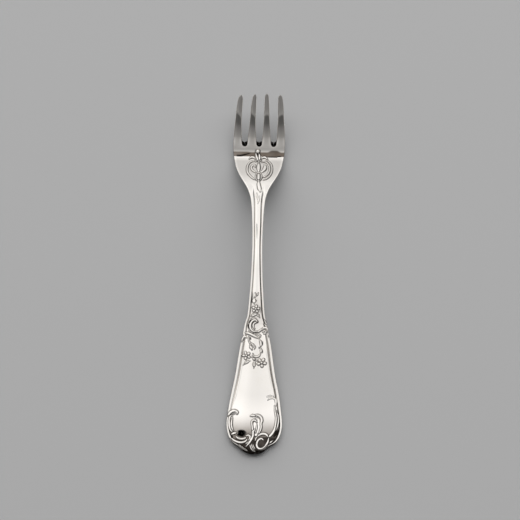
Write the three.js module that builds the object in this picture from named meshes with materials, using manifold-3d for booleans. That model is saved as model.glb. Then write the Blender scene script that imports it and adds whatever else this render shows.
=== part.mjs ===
// A baby fork with four tines, struck from one blank of silver-plated metal. Millimetres, +Z up.
// The fork lies face up on a table at z = 0, with its tips towards +Y and its length centred on y = 0.
// Each named mesh is one stretch of the blank, and neighbours share the cross-section where they meet.

import * as THREE from "three";
import Module from "manifold-3d";

const wasm = await Module();
wasm.setup();

// Lengths of the stretches, from the end of the handle to the tips of the tines
const BLADE_LENGTH = 68;
const STEM_LENGTH = 21;
const NECK_LENGTH = 14;
const HEAD_LENGTH = 24.6;
const TINE_LENGTH = 22.4;

// Widths in plan
const BLADE_WIDTH = 23.4;
const BLADE_END_WIDTH = 2.6;
const SHOULDER_WIDTH = 11;
const STEM_FOOT_WIDTH = 7.4;
const STEM_WIDTH = 4.5;
const HEAD_FOOT_WIDTH = 9.2;
const HEAD_WIDTH = 21.6;

// Places along the stretches where those widths are reached
const BLADE_WIDEST = 12.7; // from the end of the handle
const BLADE_TAPER_START = 18.5; // from the end of the handle
const SHOULDER_SETBACK = 17.5; // the shoulder, back from the blade's upper end
const STEM_FOOT_SETBACK = 10; // the stem's foot, back from the blade's upper end
const STEM_WAIST = 2; // the narrowest place, back from the neck
const HEAD_FOOT = 7; // where the head starts to spread, from its lower end
const HEAD_CORNER = 8; // the rounded shoulder of the head, back from the slots

// The ogee waist on each side of the handle's end
const OGEE_DEPTH = 1.2;
const OGEE_PLACE = 2.7;
const OGEE_LENGTH = 1.6;

// The blade's flank is a little hollow, and the head's corner is nearly as wide as the head
const BLADE_TAPER_LOSS = 0.55; // width lost on each side before the straight taper starts
const HEAD_CORNER_LOSS = 1.1; // width still missing on each side at the head's corner

// Thickness of the metal
const BLADE_THICKNESS = 1.9;
const STEM_THICKNESS = 3;
const NECK_THICKNESS = 2.7;
const HEAD_THICKNESS = 2;
const TIP_THICKNESS = 1.1;

// The raised thread along both edges of the handle
const BLADE_THREAD_WIDTH = 1.5;
const STEM_THREAD_WIDTH = 1;
const THREAD_HEIGHT = 0.35;
const THREAD_FADE = 9; // the thread sinks into the head's foot over this length

// Crown of the front and of the back, and the flat strip along the back
const FRONT_CROWN = 0.6;
const BACK_CROWN = 0.45;
const BACK_FLAT_SHARE = 0.45;

// Side view: the arch under the handle, the two places it rests on and the rise of the tines
const HANDLE_REST_START = 9;
const HANDLE_REST_LENGTH = 7;
const END_LIFT = 0.75;
const END_ROLL = 0.6; // the rim of the handle's end is rolled down this far
const END_ROLL_LENGTH = 2.4;
const BLADE_RISE = 2; // half way between the handle's rest and the stem's foot
const STEM_FOOT_RISE = 4.9;
const ARCH_HEIGHT = 8.3;
const ARCH_TOP = 9; // the highest place, from the neck's lower end
const HEAD_FOOT_RISE = 6;
const HEAD_RISE = 3.15; // half way between the head's foot and the heel
const HEEL_SETBACK = 2; // from the slots back to the heel
const HEEL_LENGTH = 1.6;
const SLOT_RISE = 0.6;
const TINE_MIDDLE_RISE = 4.5; // half way along the tines
const TIP_RISE = 9.3;
const TIP_SLOPE = 0.43; // rise per millimetre at the tips

// Tines, from the fork's left to its right
const TINES = ["left_outer_tine", "left_inner_tine", "right_inner_tine", "right_outer_tine"];
const SLOT_WIDTH = 2.5;
const TIP_PITCH = 5.45; // between the middles of neighbouring tips
const TIP_WIDTH = 2.1;
const TIP_END_WIDTH = 0.5;
const TIP_END_THICKNESS = 0.5;
const TIP_NOSE = 3.2;
const TINE_PARALLEL = 6;
const TINE_CHAMFER = 0.45;
const TINE_ROOT_CHAMFER = 0.04;

// The raised ornament
const RELIEF_HEIGHT = 0.65;
const RELIEF_SINK = 0.3; // how deep its feet are sunk into the metal
const RELIEF_TOP_SHARE = 0.5; // width of a ridge's top, as a share of its foot
const RELIEF_END_SHARE = 0.35; // a ridge's ends are at least this share of its height
const BOSS_PLACES = [-0.95, -0.4, 0.4, 0.95]; // a boss's cross-sections, in its radii from its middle
const PETALS = 5;
const PETAL_PLACES = [0.2, 0.6, 1]; // a petal's cross-sections, in the flower's radii from its middle
const PETAL_HALVES = [0.15, 0.36, 0.2]; // and half their widths, in the flower's radii
const EYE_SHARE = 0.3; // radius of a flower's middle, in the flower's radii
const EYE_RISE = 1.1; // and its height, in the petals' heights

// Widths that the ornament is drawn for. It grows and shrinks with the fork's own widths.
const DRAWN = { blade: 23.4, shoulder: 11, head: 21.6 };

// The shell at the handle's end: places across the blade and along it from the handle's end
const SHELL = [
  {
    height: 0.7,
    halves: [0.2, 0.45, 0.45, 0.2],
    points: [[-7.4, 5.4], [-5.7, 3.7], [-4, 2.4], [-2.4, 1.5]],
  },
  { height: 0.8, halves: [0.25, 0.5, 0.5, 0.2], points: [[7.3, 6.6], [6.9, 4.9], [5.7, 3.1], [4, 1.6]] },
  { height: 0.7, halves: [0.25, 0.4, 0.3], points: [[-0.6, 4.6], [-0.6, 3.1], [-0.1, 1.4]] },
  {
    height: 1,
    halves: [0.25, 0.5, 0.7, 0.75, 0.75, 0.65, 0.4],
    points: [[-7.2, 17], [-8.2, 17.6], [-9.3, 17], [-9.85, 15.2], [-9.85, 13], [-9.4, 10.8], [-8.3, 8.5]],
  },
  {
    height: 1,
    halves: [0.35, 0.6, 0.8, 0.8, 0.6, 0.35],
    points: [[-8, 7.6], [-7.5, 6.2], [-6.2, 4.9], [-4.6, 4.7], [-3.1, 5.7], [-2.3, 7.2]],
  },
  {
    height: 1,
    halves: [0.25, 0.55, 0.8, 0.85, 0.85, 0.75, 0.6],
    points: [[8.3, 21.2], [8.5, 19], [8.85, 17], [9.1, 14.5], [8.95, 12], [8.2, 9.8], [6.9, 8]],
  },
  {
    height: 0.75,
    halves: [0.12, 0.3, 0.4, 0.42, 0.3],
    points: [[5, 22.3], [5.8, 23.5], [7.1, 24], [8.3, 23.5], [8.6, 22.4]],
  },
  {
    height: 1.05,
    halves: [0.2, 0.35, 0.45, 0.55, 0.5, 0.46, 0.2],
    points: [[2, 8.6], [3, 10.2], [3.5, 12], [3.2, 14.2], [2.2, 15.5], [0.4, 16.3], [-1.5, 15.7]],
  },
  {
    height: 0.95,
    halves: [0.3, 0.32, 0.34, 0.38, 0.4],
    points: [[0.4, 8.2], [-0.4, 9.8], [-0.6, 12], [-0.5, 13.6], [0.3, 14.5]],
  },
  {
    height: 1.1,
    halves: [0.35, 0.45, 0.45, 0.2],
    points: [[0.8, 8.6], [-0.1, 7.3], [-1.2, 5.7], [-2.8, 3.3]],
  },
];
const SHELL_BOSSES = [
  { height: 1.15, radius: 0.6, centre: [-8.2, 8.3] },
  { height: 1.15, radius: 0.6, centre: [-2.2, 7.6] },
];
const SHELL_RING = {
  height: 1.1,
  halves: [0.55, 0.6, 0.5, 0.4],
  centre: [3.4, 5.3],
  radii: [2.55, 3.05],
  start: 48, // degrees from the right, anticlockwise
  turns: 1.3,
  shrink: 0.42, // the inner end's share of the radii
  steps: 16,
};

// The spray below the stem: places across, and along from the shoulder
const SPRAY = [
  {
    height: 0.7,
    halves: [0.1, 0.34, 0.34, 0.2],
    points: [[-2.8, 12.5], [-3.3, 7.1], [-3.65, 4], [-3.95, 0.9]],
  },
  { height: 0.7, halves: [0.1, 0.34, 0.25], points: [[2.8, 12], [3.25, 6.9], [3.6, 4.4]] },
  { height: 0.8, halves: [0.1, 0.7, 0.1], points: [[-0.8, 14.7], [-0.8, 13.4], [-0.6, 12]] },
  {
    height: 0.75,
    halves: [0.1, 0.5, 0.5, 0.1],
    points: [[-2.3, 6.4], [-1, 7.3], [0.3, 7.7], [1.8, 8.1]],
  },
  {
    height: 0.85,
    halves: [0.32, 0.36, 0.36, 0.3],
    points: [[-0.7, 0.8], [0.8, 0.7], [2.1, 1.4], [3.2, 2.3]],
  },
  {
    height: 1.05,
    halves: [0.2, 0.36, 0.52, 0.62, 0.58, 0.46, 0.34],
    points: [[0.6, 4.7], [0, 5.6], [-1.2, 5.6], [-2.2, 4.5], [-2.4, 2.8], [-1.8, 1.4], [-0.6, 0.8]],
  },
  {
    height: 1.1,
    halves: [0.3, 0.4, 0.5, 0.48, 0.4],
    points: [[5.3, -1.9], [5.25, 0.1], [4.7, 1.7], [3.7, 2.3], [3, 1.5]],
  },
  {
    height: 1.1,
    halves: [0.3, 0.42, 0.5, 0.48, 0.4],
    points: [[-5.9, -4.5], [-5.6, -2.5], [-4.95, -1.3], [-4, -1.1], [-3.5, -1.9]],
  },
  {
    height: 0.95,
    halves: [0.2, 0.42, 0.48, 0.42, 0.3],
    points: [[-3.6, 0.5], [-2, -0.2], [-0.4, -0.8], [1.2, -1.3], [2.1, -1.3]],
  },
  {
    height: 0.8,
    halves: [0.15, 0.3, 0.34, 0.34, 0.34, 0.3, 0.2],
    points: [[1.5, -1.8], [3, -4.1], [2.6, -5.4], [3, -7.6], [2.5, -8.9], [0.6, -10.1], [-0.6, -9.6]],
  },
  { height: 0.7, halves: [0.15, 0.22, 0.2], points: [[-2.7, -1.1], [-2.6, -3.2], [-1.7, -5.1]] },
  { height: 0.8, halves: [0.15, 0.68, 0.2], points: [[-2.2, -4.6], [-1.4, -5.6], [-1, -6.8]] },
  { height: 0.7, halves: [0.12, 0.62, 0.1], points: [[-1.7, -11.5], [-3.3, -12.2], [-5, -13.5]] },
  { height: 0.75, halves: [0.25, 0.72, 0.1], points: [[-0.5, -11.3], [-0.4, -12.9], [0.1, -14.7]] },
];
const SPRAY_BOSSES = [{ height: 0.8, radius: 0.55, centre: [-0.5, -10.7] }];
const SPRAY_FLOWERS = [
  { height: 0.75, radius: 1.65, turn: 90, centre: [0, 10.1] },
  { height: 0.75, radius: 1.75, turn: 40, centre: [-3.5, -9.3] },
  { height: 0.8, radius: 2, turn: 70, centre: [2.9, -12.4] },
];

// The cartouche on the head: places across, and along from the slots
const CARTOUCHE = [
  { height: 0.7, halves: [0.3, 0.42, 0.7], points: [[-0.1, -2.2], [-0.1, -3.6], [-0.1, -5]] },
  {
    height: 0.9,
    halves: [0.25, 0.45, 0.45, 0.15],
    points: [[-1.1, -4.4], [-2, -3.6], [-3.1, -3.7], [-3.9, -4.6]],
  },
  {
    height: 0.9,
    halves: [0.25, 0.45, 0.45, 0.15],
    points: [[1.1, -4.4], [2, -3.6], [3.1, -3.7], [3.9, -4.6]],
  },
  {
    height: 1,
    halves: [0.3, 0.5, 0.56, 0.56, 0.5, 0.35],
    points: [[-3.4, -4.9], [-4.3, -6.3], [-4.7, -8.2], [-4.4, -10.1], [-3.5, -11.6], [-2, -12.6]],
  },
  {
    height: 1,
    halves: [0.3, 0.5, 0.56, 0.56, 0.5, 0.35],
    points: [[3.9, -4.9], [4.9, -6.3], [5.35, -8.2], [5, -10.1], [4, -11.6], [2.5, -12.6]],
  },
  { height: 0.8, halves: [0.25, 0.82, 0.4], points: [[-0.1, -9.9], [-0.1, -7.8], [-0.1, -5.7]] },
  { height: 0.7, halves: [0.2, 0.6, 0.2], points: [[-1.3, -10.2], [-2.4, -9], [-3.1, -7.3]] },
  { height: 0.75, halves: [0.15, 0.68, 0.15], points: [[1.2, -10.4], [2.5, -9.3], [3.4, -7.3]] },
  {
    height: 0.75,
    halves: [0.25, 0.6, 0.68, 0.2],
    points: [[0.3, -13.4], [0.25, -15], [0.5, -16.7], [1, -18.2]],
  },
];
const CARTOUCHE_BOSSES = [
  { height: 0.9, radius: 0.85, centre: [-0.1, -1.4] },
  { height: 1, radius: 1.2, centre: [0.3, -11.6] },
];

// The drop and the ends of the threads on the head's foot: places across, and along from the head's lower end
const FOOT_WORK = [
  { height: 0.6, halves: [0.4, 0.4, 0.1], points: [[-0.1, 6], [-0.1, 4.6], [0, 3.2]] },
  { height: 0.7, halves: [0.45, 0.45, 0.1], points: [[-2.25, 0.4], [-2.6, 4.2], [-3.1, 8.2]] },
  { height: 0.7, halves: [0.45, 0.45, 0.1], points: [[2.25, 0.4], [2.7, 4.2], [3.4, 8.4]] },
];

// How finely the surfaces are faceted
const BLADE_END_STEPS = 12;
const BLADE_STEPS = 22;
const STEM_STEPS = 7;
const NECK_STEPS = 7;
const HEAD_STEPS = 20;
const SLOT_STEPS = 6;
const TINE_STEPS = 10;
const NOSE_STEPS = 5;
const LEAST_STEP = 0.02; // stations closer than this count as one

// Stations along the fork, measured from the end of the handle
const HANDLE_REST_END = HANDLE_REST_START + HANDLE_REST_LENGTH;
const STEM_START = BLADE_LENGTH;
const SHOULDER = STEM_START - SHOULDER_SETBACK;
const STEM_FOOT = STEM_START - STEM_FOOT_SETBACK;
const NECK_START = STEM_START + STEM_LENGTH;
const WAIST = NECK_START - STEM_WAIST;
const HEAD_START = NECK_START + NECK_LENGTH;
const HEAD_SPREAD = HEAD_START + HEAD_FOOT;
const SLOT_START = HEAD_START + HEAD_LENGTH;
const FORK_LENGTH = SLOT_START + TINE_LENGTH;
const HEEL_END = SLOT_START - HEEL_SETBACK;
const HEEL_START = HEEL_END - HEEL_LENGTH;
const SLOT_RADIUS = SLOT_WIDTH / 2;
const TINE_WIDTH = (HEAD_WIDTH - (TINES.length - 1) * SLOT_WIDTH) / TINES.length;
const TINE_PITCH = TINE_WIDTH + SLOT_WIDTH;

const silver = new THREE.MeshStandardMaterial({ color: 0xe6e3dc, roughness: 0.16, metalness: 1 });

// A smooth curve through [place, value] points that never swings past them: monotone cubic Hermite.
// It has the given slopes at its ends, and is level there by default.
function through(points, startSlope = 0, endSlope = 0) {
  const last = points.length - 1;
  const secant = (i) => (points[i + 1][1] - points[i][1]) / (points[i + 1][0] - points[i][0]);
  const slope = points.map((_, i) => {
    if (i === 0) return startSlope;
    if (i === last) return endSlope;
    const before = secant(i - 1);
    const after = secant(i);
    return before * after <= 0 ? 0 : (2 * before * after) / (before + after);
  });
  return (place) => {
    if (place <= points[0][0]) return points[0][1];
    if (place >= points[last][0]) return points[last][1];
    const i = points.findIndex(([end]) => place < end) - 1;
    const span = points[i + 1][0] - points[i][0];
    const t = (place - points[i][0]) / span;
    const eased = t * t * (3 - 2 * t);
    const rising = t * (1 - t) * (1 - t) * slope[i];
    const falling = t * t * (t - 1) * slope[i + 1];
    return points[i][1] + eased * (points[i + 1][1] - points[i][1]) + span * (rising + falling);
  };
}

const lerp = THREE.MathUtils.lerp;
const smoothstep = THREE.MathUtils.smoothstep;

// Half the width in plan: a half ellipse at the handle's end, then a smooth curve to the slots.
const flank = through([
  [BLADE_WIDEST, BLADE_WIDTH / 2],
  [BLADE_TAPER_START, BLADE_WIDTH / 2 - BLADE_TAPER_LOSS],
  [SHOULDER, SHOULDER_WIDTH / 2],
  [STEM_FOOT, STEM_FOOT_WIDTH / 2],
  [WAIST, STEM_WIDTH / 2],
  [HEAD_SPREAD, HEAD_FOOT_WIDTH / 2],
  [SLOT_START - HEAD_CORNER, HEAD_WIDTH / 2 - HEAD_CORNER_LOSS],
  [SLOT_START, HEAD_WIDTH / 2],
]);

function halfWidth(station) {
  if (station >= BLADE_WIDEST) return flank(station);
  const across = 1 - station / BLADE_WIDEST;
  const round = (BLADE_WIDTH / 2) * Math.sqrt(1 - across * across);
  const ogee = OGEE_DEPTH * Math.exp(-(((station - OGEE_PLACE) / OGEE_LENGTH) ** 2));
  return Math.max(BLADE_END_WIDTH / 2, round - ogee);
}

// Height of the back along the middle of the fork. It is flat at the two places that touch the table.
const backHeight = through(
  [
    [0, END_LIFT],
    [HANDLE_REST_START, 0],
    [HANDLE_REST_END, 0],
    [(HANDLE_REST_END + STEM_FOOT) / 2, BLADE_RISE],
    [STEM_FOOT, STEM_FOOT_RISE],
    [NECK_START + ARCH_TOP, ARCH_HEIGHT],
    [HEAD_SPREAD, HEAD_FOOT_RISE],
    [(HEAD_SPREAD + HEEL_START) / 2, HEAD_RISE],
    [HEEL_START, 0],
    [HEEL_END, 0],
    [SLOT_START, SLOT_RISE],
    [SLOT_START + TINE_LENGTH / 2, TINE_MIDDLE_RISE],
    [FORK_LENGTH, TIP_RISE],
  ],
  (-2 * END_LIFT) / HANDLE_REST_START,
  TIP_SLOPE,
);

const thickness = through([
  [0, BLADE_THICKNESS],
  [SHOULDER, BLADE_THICKNESS],
  [WAIST, STEM_THICKNESS],
  [HEAD_SPREAD, NECK_THICKNESS],
  [HEEL_START, HEAD_THICKNESS],
  [SLOT_START, HEAD_THICKNESS],
  [FORK_LENGTH, TIP_THICKNESS],
]);

const threadWidth = through([
  [SHOULDER, BLADE_THREAD_WIDTH],
  [STEM_FOOT, STEM_THREAD_WIDTH],
]);

function threadHeight(station) {
  return THREAD_HEIGHT * (1 - smoothstep(station, HEAD_SPREAD - THREAD_FADE, HEAD_SPREAD));
}

// The front is crowned along the handle, and flat from the spread of the head to the tips.
function frontHeight(station, share) {
  const crown = FRONT_CROWN * (1 - smoothstep(station, NECK_START, HEAD_SPREAD));
  const roll = END_ROLL * Math.max(0, 1 - station / END_ROLL_LENGTH) ** 2;
  return backHeight(station) + thickness(station) - crown * share * share - roll;
}

// The back has a flat strip along the middle, and its sides rise to the edges.
function undersideHeight(station, share) {
  const beyond = Math.max(0, (Math.abs(share) - BACK_FLAT_SHARE) / (1 - BACK_FLAT_SHARE));
  return backHeight(station) + BACK_CROWN * beyond * beyond;
}

const place = (x, station, z) => new THREE.Vector3(x, station - FORK_LENGTH / 2, z);

// A cross-section of the handle, the neck or the head, anticlockwise as seen from the handle's end.
function bladeSection(station) {
  const half = halfWidth(station);
  const thread = Math.min(threadWidth(station), half / 2);
  const rise = threadHeight(station);
  const panel = half - thread;
  const front = [half, half - thread / 2, panel, (panel * 2) / 3, panel / 3, 0];
  const lift = [0, rise, 0, 0, 0, 0];
  const back = [half, (half * 3) / 4, half * BACK_FLAT_SHARE];
  const backPoint = (x) => place(x, station, undersideHeight(station, x / half));
  const frontPoint = (x, side, i) => place(side * x, station, frontHeight(station, x / half) + lift[i]);
  return [
    ...back.map((x) => backPoint(-x)),
    ...back.map((x) => backPoint(x)).reverse(),
    ...front.map((x, i) => frontPoint(x, 1, i)),
    ...front.map((x, i) => frontPoint(x, -1, i)).slice(0, -1).reverse(),
  ];
}

const acrossPlane = (section) => section.map((p) => new THREE.Vector2(p.x, p.z));

// A closed solid through cross-sections that all have the same number of points. Its ends are filled by the
// triangles of their flat outlines.
function loft(sections, flat = acrossPlane) {
  const ring = sections[0].length;
  const positions = sections.flat().flatMap((p) => p.toArray());
  const indices = [];
  for (let i = 0; i + 1 < sections.length; i++) {
    for (let j = 0; j < ring; j++) {
      const a = i * ring + j;
      const b = i * ring + ((j + 1) % ring);
      indices.push(a, b + ring, b, a, a + ring, b + ring);
    }
  }
  const end = (sections.length - 1) * ring;
  for (const [a, b, c] of THREE.ShapeUtils.triangulateShape(flat(sections[0]), [])) {
    indices.push(a, b, c);
  }
  for (const [a, b, c] of THREE.ShapeUtils.triangulateShape(flat(sections.at(-1)), [])) {
    indices.push(end + a, end + c, end + b);
  }
  return indexed(positions, indices);
}

function indexed(positions, indices) {
  const geometry = new THREE.BufferGeometry();
  geometry.setAttribute("position", new THREE.Float32BufferAttribute(positions, 3));
  geometry.setIndex(indices);
  geometry.computeVertexNormals();
  return geometry;
}

// The value at a share of the way along a list of values that are spread evenly.
function spread(values, share) {
  const at = share * (values.length - 1);
  const i = Math.min(Math.floor(at), values.length - 2);
  return lerp(values[i], values[i + 1], at - i);
}

const RIDGE_OUTLINE = [
  new THREE.Vector2(-1, 0),
  new THREE.Vector2(1, 0),
  new THREE.Vector2(RELIEF_TOP_SHARE, 1),
  new THREE.Vector2(-RELIEF_TOP_SHARE, 1),
];

// A ridge along points in plan, given as x and station: a trapezoid that follows the front, with sunk feet.
function ridge(points, halves, height) {
  const widest = Math.max(...halves);
  const last = points.length - 1;
  const sections = points.map(([x, station], i) => {
    const [beforeX, before] = points[Math.max(i - 1, 0)];
    const [afterX, after] = points[Math.min(i + 1, last)];
    const right = new THREE.Vector2(after - before, beforeX - afterX).normalize();
    const half = spread(halves, i / last);
    const rise = height * Math.min(1, half / widest + RELIEF_END_SHARE);
    const corner = (out, lift) => {
      const cornerX = x + right.x * out;
      const cornerStation = station + right.y * out;
      const share = THREE.MathUtils.clamp(cornerX / halfWidth(cornerStation), -1, 1);
      return place(cornerX, cornerStation, frontHeight(cornerStation, share) + lift);
    };
    return [
      corner(-half, -RELIEF_SINK),
      corner(half, -RELIEF_SINK),
      corner(half * RELIEF_TOP_SHARE, rise),
      corner(-half * RELIEF_TOP_SHARE, rise),
    ];
  });
  return loft(sections, () => RIDGE_OUTLINE);
}

// A round boss, as a short ridge that narrows at both ends.
function boss([x, station], radius, height) {
  const points = BOSS_PLACES.map((share) => [x, station + share * radius]);
  const halves = BOSS_PLACES.map((share) => radius * Math.sqrt(1 - share * share));
  return ridge(points, halves, height);
}

// Petals about a boss.
function flower([x, station], radius, turn, height) {
  const petals = Array.from({ length: PETALS }, (_, i) => {
    const angle = THREE.MathUtils.degToRad(turn + (360 * i) / PETALS);
    const across = radius * Math.cos(angle);
    const along = radius * Math.sin(angle);
    const points = PETAL_PLACES.map((share) => [x + share * across, station + share * along]);
    return ridge(points, PETAL_HALVES.map((share) => share * radius), height);
  });
  return [...petals, boss([x, station], EYE_SHARE * radius, EYE_RISE * height)];
}

// Points of a spiral that closes in.
function spiral({ centre, radii, start, turns, shrink, steps }) {
  return evenly(0, 1, steps).map((share) => {
    const angle = THREE.MathUtils.degToRad(start + 360 * turns * share);
    const closing = lerp(1, shrink, share);
    const x = centre[0] + radii[0] * closing * Math.cos(angle);
    return [x, centre[1] + radii[1] * closing * Math.sin(angle)];
  });
}

// All the raised forms of one ornament, at a scale and from a station.
function ornament(scale, origin, { ridges, bosses = [], flowers = [] }) {
  const put = ([x, along]) => [x * scale, origin + along * scale];
  const rise = (height) => height * RELIEF_HEIGHT;
  return [
    ...ridges.map(({ points, halves, height }) =>
      ridge(points.map(put), halves.map((half) => half * scale), rise(height))),
    ...flowers.flatMap(({ centre, radius, turn, height }) =>
      flower(put(centre), radius * scale, turn, rise(height))),
    ...bosses.map(({ centre, radius, height }) => boss(put(centre), radius * scale, rise(height))),
  ];
}

function manifold(geometry) {
  const vertProperties = geometry.attributes.position.array;
  const triVerts = Uint32Array.from(geometry.index.array);
  return new wasm.Manifold(new wasm.Mesh({ numProp: 3, vertProperties, triVerts }));
}

// A stretch of the blank with its raised ornament, in one body.
function joined(blank, forms) {
  const mesh = forms.reduce((body, form) => body.add(manifold(form)), manifold(blank)).getMesh();
  return indexed(Array.from(mesh.vertProperties), Array.from(mesh.triVerts));
}

const evenly = (start, end, steps) =>
  Array.from({ length: steps + 1 }, (_, i) => lerp(start, end, i / steps));

// Stations that crowd towards the start, for a rounded end.
const rounding = (start, end, steps) =>
  Array.from({ length: steps + 1 }, (_, i) => lerp(end, start, Math.cos((i / steps) * (Math.PI / 2))));

function solid(name, geometry) {
  const mesh = new THREE.Mesh(geometry, silver);
  mesh.name = name;
  return mesh;
}

const stretch = (stations) => loft(stations.map(bladeSection));

// Every station in order, once.
function merged(...lists) {
  const sorted = lists.flat().sort((a, b) => a - b);
  return sorted.filter((station, i) => i === 0 || station - sorted[i - 1] > LEAST_STEP);
}

function handleBlade() {
  const rest = [HANDLE_REST_START, HANDLE_REST_END];
  const end = rounding(0, BLADE_WIDEST, BLADE_END_STEPS);
  const blank = stretch(merged(end, rest, evenly(BLADE_WIDEST, STEM_START, BLADE_STEPS)));
  const ring = { ...SHELL_RING, points: spiral(SHELL_RING) };
  const shell = { ridges: [...SHELL, ring], bosses: SHELL_BOSSES };
  const spray = { ridges: SPRAY, bosses: SPRAY_BOSSES, flowers: SPRAY_FLOWERS };
  return solid("handle_blade", joined(blank, [
    ...ornament(BLADE_WIDTH / DRAWN.blade, 0, shell),
    ...ornament(SHOULDER_WIDTH / DRAWN.shoulder, SHOULDER, spray),
  ]));
}

function head() {
  const heel = [HEEL_START, HEEL_END];
  const blank = stretch(merged(heel, evenly(HEAD_START, SLOT_START, HEAD_STEPS)));
  const scale = HEAD_WIDTH / DRAWN.head;
  return solid("head", joined(blank, [
    ...ornament(scale, SLOT_START, { ridges: CARTOUCHE, bosses: CARTOUCHE_BOSSES }),
    ...ornament(scale, HEAD_START, { ridges: FOOT_WORK }),
  ]));
}

// Half the gap of a slot, at a distance from its round bottom.
function slotHalfGap(distance) {
  const across = 1 - distance / SLOT_RADIUS;
  return distance < SLOT_RADIUS ? SLOT_RADIUS * Math.sqrt(1 - across * across) : SLOT_RADIUS;
}

// A tine's cross-section. Its root flares on the sides that face a slot, round the slot's bottom.
function tineSection(index, distance) {
  const station = SLOT_START + distance;
  const noseStart = TINE_LENGTH - TIP_NOSE;
  const nose = Math.max(0, (distance - noseStart) / TIP_NOSE);
  const point = Math.sqrt(1 - nose * nose);
  const taper = lerp(TINE_WIDTH, TIP_WIDTH, smoothstep(distance, TINE_PARALLEL, noseStart)) / 2;
  const half = lerp(TIP_END_WIDTH / 2, taper, point);
  const pitch = lerp(TINE_PITCH, TIP_PITCH, smoothstep(distance, SLOT_RADIUS, TINE_LENGTH));
  const centre = (index - (TINES.length - 1) / 2) * pitch;
  const flare = SLOT_RADIUS - slotHalfGap(distance);
  const left = centre - half - (index > 0 ? flare : 0);
  const right = centre + half + (index < TINES.length - 1 ? flare : 0);
  const chamfer = lerp(TINE_ROOT_CHAMFER, TINE_CHAMFER, smoothstep(distance, 0, TINE_PARALLEL / 2));
  const corner = Math.min(chamfer, (right - left) / 4);
  const bottom = (x) => undersideHeight(station, x / (HEAD_WIDTH / 2));
  const top = frontHeight(station, 0);
  const middle = (bottom(centre) + top) / 2;
  const squeeze = lerp(TIP_END_THICKNESS / thickness(FORK_LENGTH), 1, point);
  const corners = [
    [left + corner, bottom(left)],
    [right - corner, bottom(right)],
    [right, bottom(right) + corner],
    [right, top - corner],
    [right - corner, top],
    [left + corner, top],
    [left, top - corner],
    [left, bottom(left) + corner],
  ];
  return corners.map(([x, z]) => place(x, station, lerp(middle, z, squeeze)));
}

function tines() {
  const distances = merged(
    rounding(0, SLOT_RADIUS, SLOT_STEPS),
    evenly(SLOT_RADIUS, TINE_LENGTH - TIP_NOSE, TINE_STEPS),
    rounding(0, TIP_NOSE, NOSE_STEPS).map((back) => TINE_LENGTH - back),
  );
  return TINES.map((name, index) =>
    solid(name, loft(distances.map((distance) => tineSection(index, distance)))),
  );
}

const fork = new THREE.Group();
fork.add(handleBlade());
fork.add(solid("stem", stretch(evenly(STEM_START, NECK_START, STEM_STEPS))));
fork.add(solid("neck", stretch(evenly(NECK_START, HEAD_START, NECK_STEPS))));
fork.add(head());
fork.add(...tines());

export default fork;
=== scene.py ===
"""A baby fork in polished silver plate, chased with scrolls, leaves and flowers.

The fork is one struck blank. Its front is a height over the plan: x across and station along, both in
millimetres from the middle of the handle's end. Each stretch of the blank is a closed surface of its own.
"""

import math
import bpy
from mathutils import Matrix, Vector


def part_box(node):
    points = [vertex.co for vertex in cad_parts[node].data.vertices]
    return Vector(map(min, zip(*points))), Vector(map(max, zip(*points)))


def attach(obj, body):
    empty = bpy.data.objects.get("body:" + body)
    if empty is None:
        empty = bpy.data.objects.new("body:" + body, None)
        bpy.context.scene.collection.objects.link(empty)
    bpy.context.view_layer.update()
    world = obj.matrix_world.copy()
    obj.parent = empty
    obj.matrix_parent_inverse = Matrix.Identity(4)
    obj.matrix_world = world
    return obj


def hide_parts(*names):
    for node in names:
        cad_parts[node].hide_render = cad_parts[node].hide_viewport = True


bl_info = {
    "name": "Baby fork",
    "version": (1, 0, 0),
    "blender": (4, 5, 0),
    "location": "View3D > Sidebar > Fork",
    "description": "Builds the chased silver surfaces of a baby fork and the stage it lies on",
    "category": "Add Mesh",
}

import bmesh
import bpy
import numpy as np
from bpy.props import FloatProperty, FloatVectorProperty, PointerProperty

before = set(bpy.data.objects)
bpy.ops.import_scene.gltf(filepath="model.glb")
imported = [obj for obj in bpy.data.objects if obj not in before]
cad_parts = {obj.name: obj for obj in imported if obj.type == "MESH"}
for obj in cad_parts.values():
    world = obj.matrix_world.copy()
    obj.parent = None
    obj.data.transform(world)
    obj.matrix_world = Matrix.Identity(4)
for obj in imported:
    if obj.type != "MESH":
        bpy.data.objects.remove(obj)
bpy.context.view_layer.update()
MM = 0.001
HANDLE_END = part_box("handle_blade")[0].y


def stretch(node):
    """Where a node starts and ends along the fork, in millimetres from the end of the handle."""
    low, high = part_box(node)
    return (low.y - HANDLE_END) / MM, (high.y - HANDLE_END) / MM


BLADE_END = stretch("handle_blade")[1]
NECK_START, HEAD_START = stretch("neck")
SLOT_START, FORK_LENGTH = stretch("left_inner_tine")
BLADE_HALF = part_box("handle_blade")[1].x / MM
HEAD_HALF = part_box("head")[1].x / MM
ARCH_EASE = 0.1
ARCH_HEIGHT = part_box("neck")[1].z / MM - ARCH_EASE
TINES = ("left_outer_tine", "left_inner_tine", "right_inner_tine", "right_outer_tine")
LEFT = -1
RIGHT = 1
SIDES = (LEFT, RIGHT)

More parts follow.
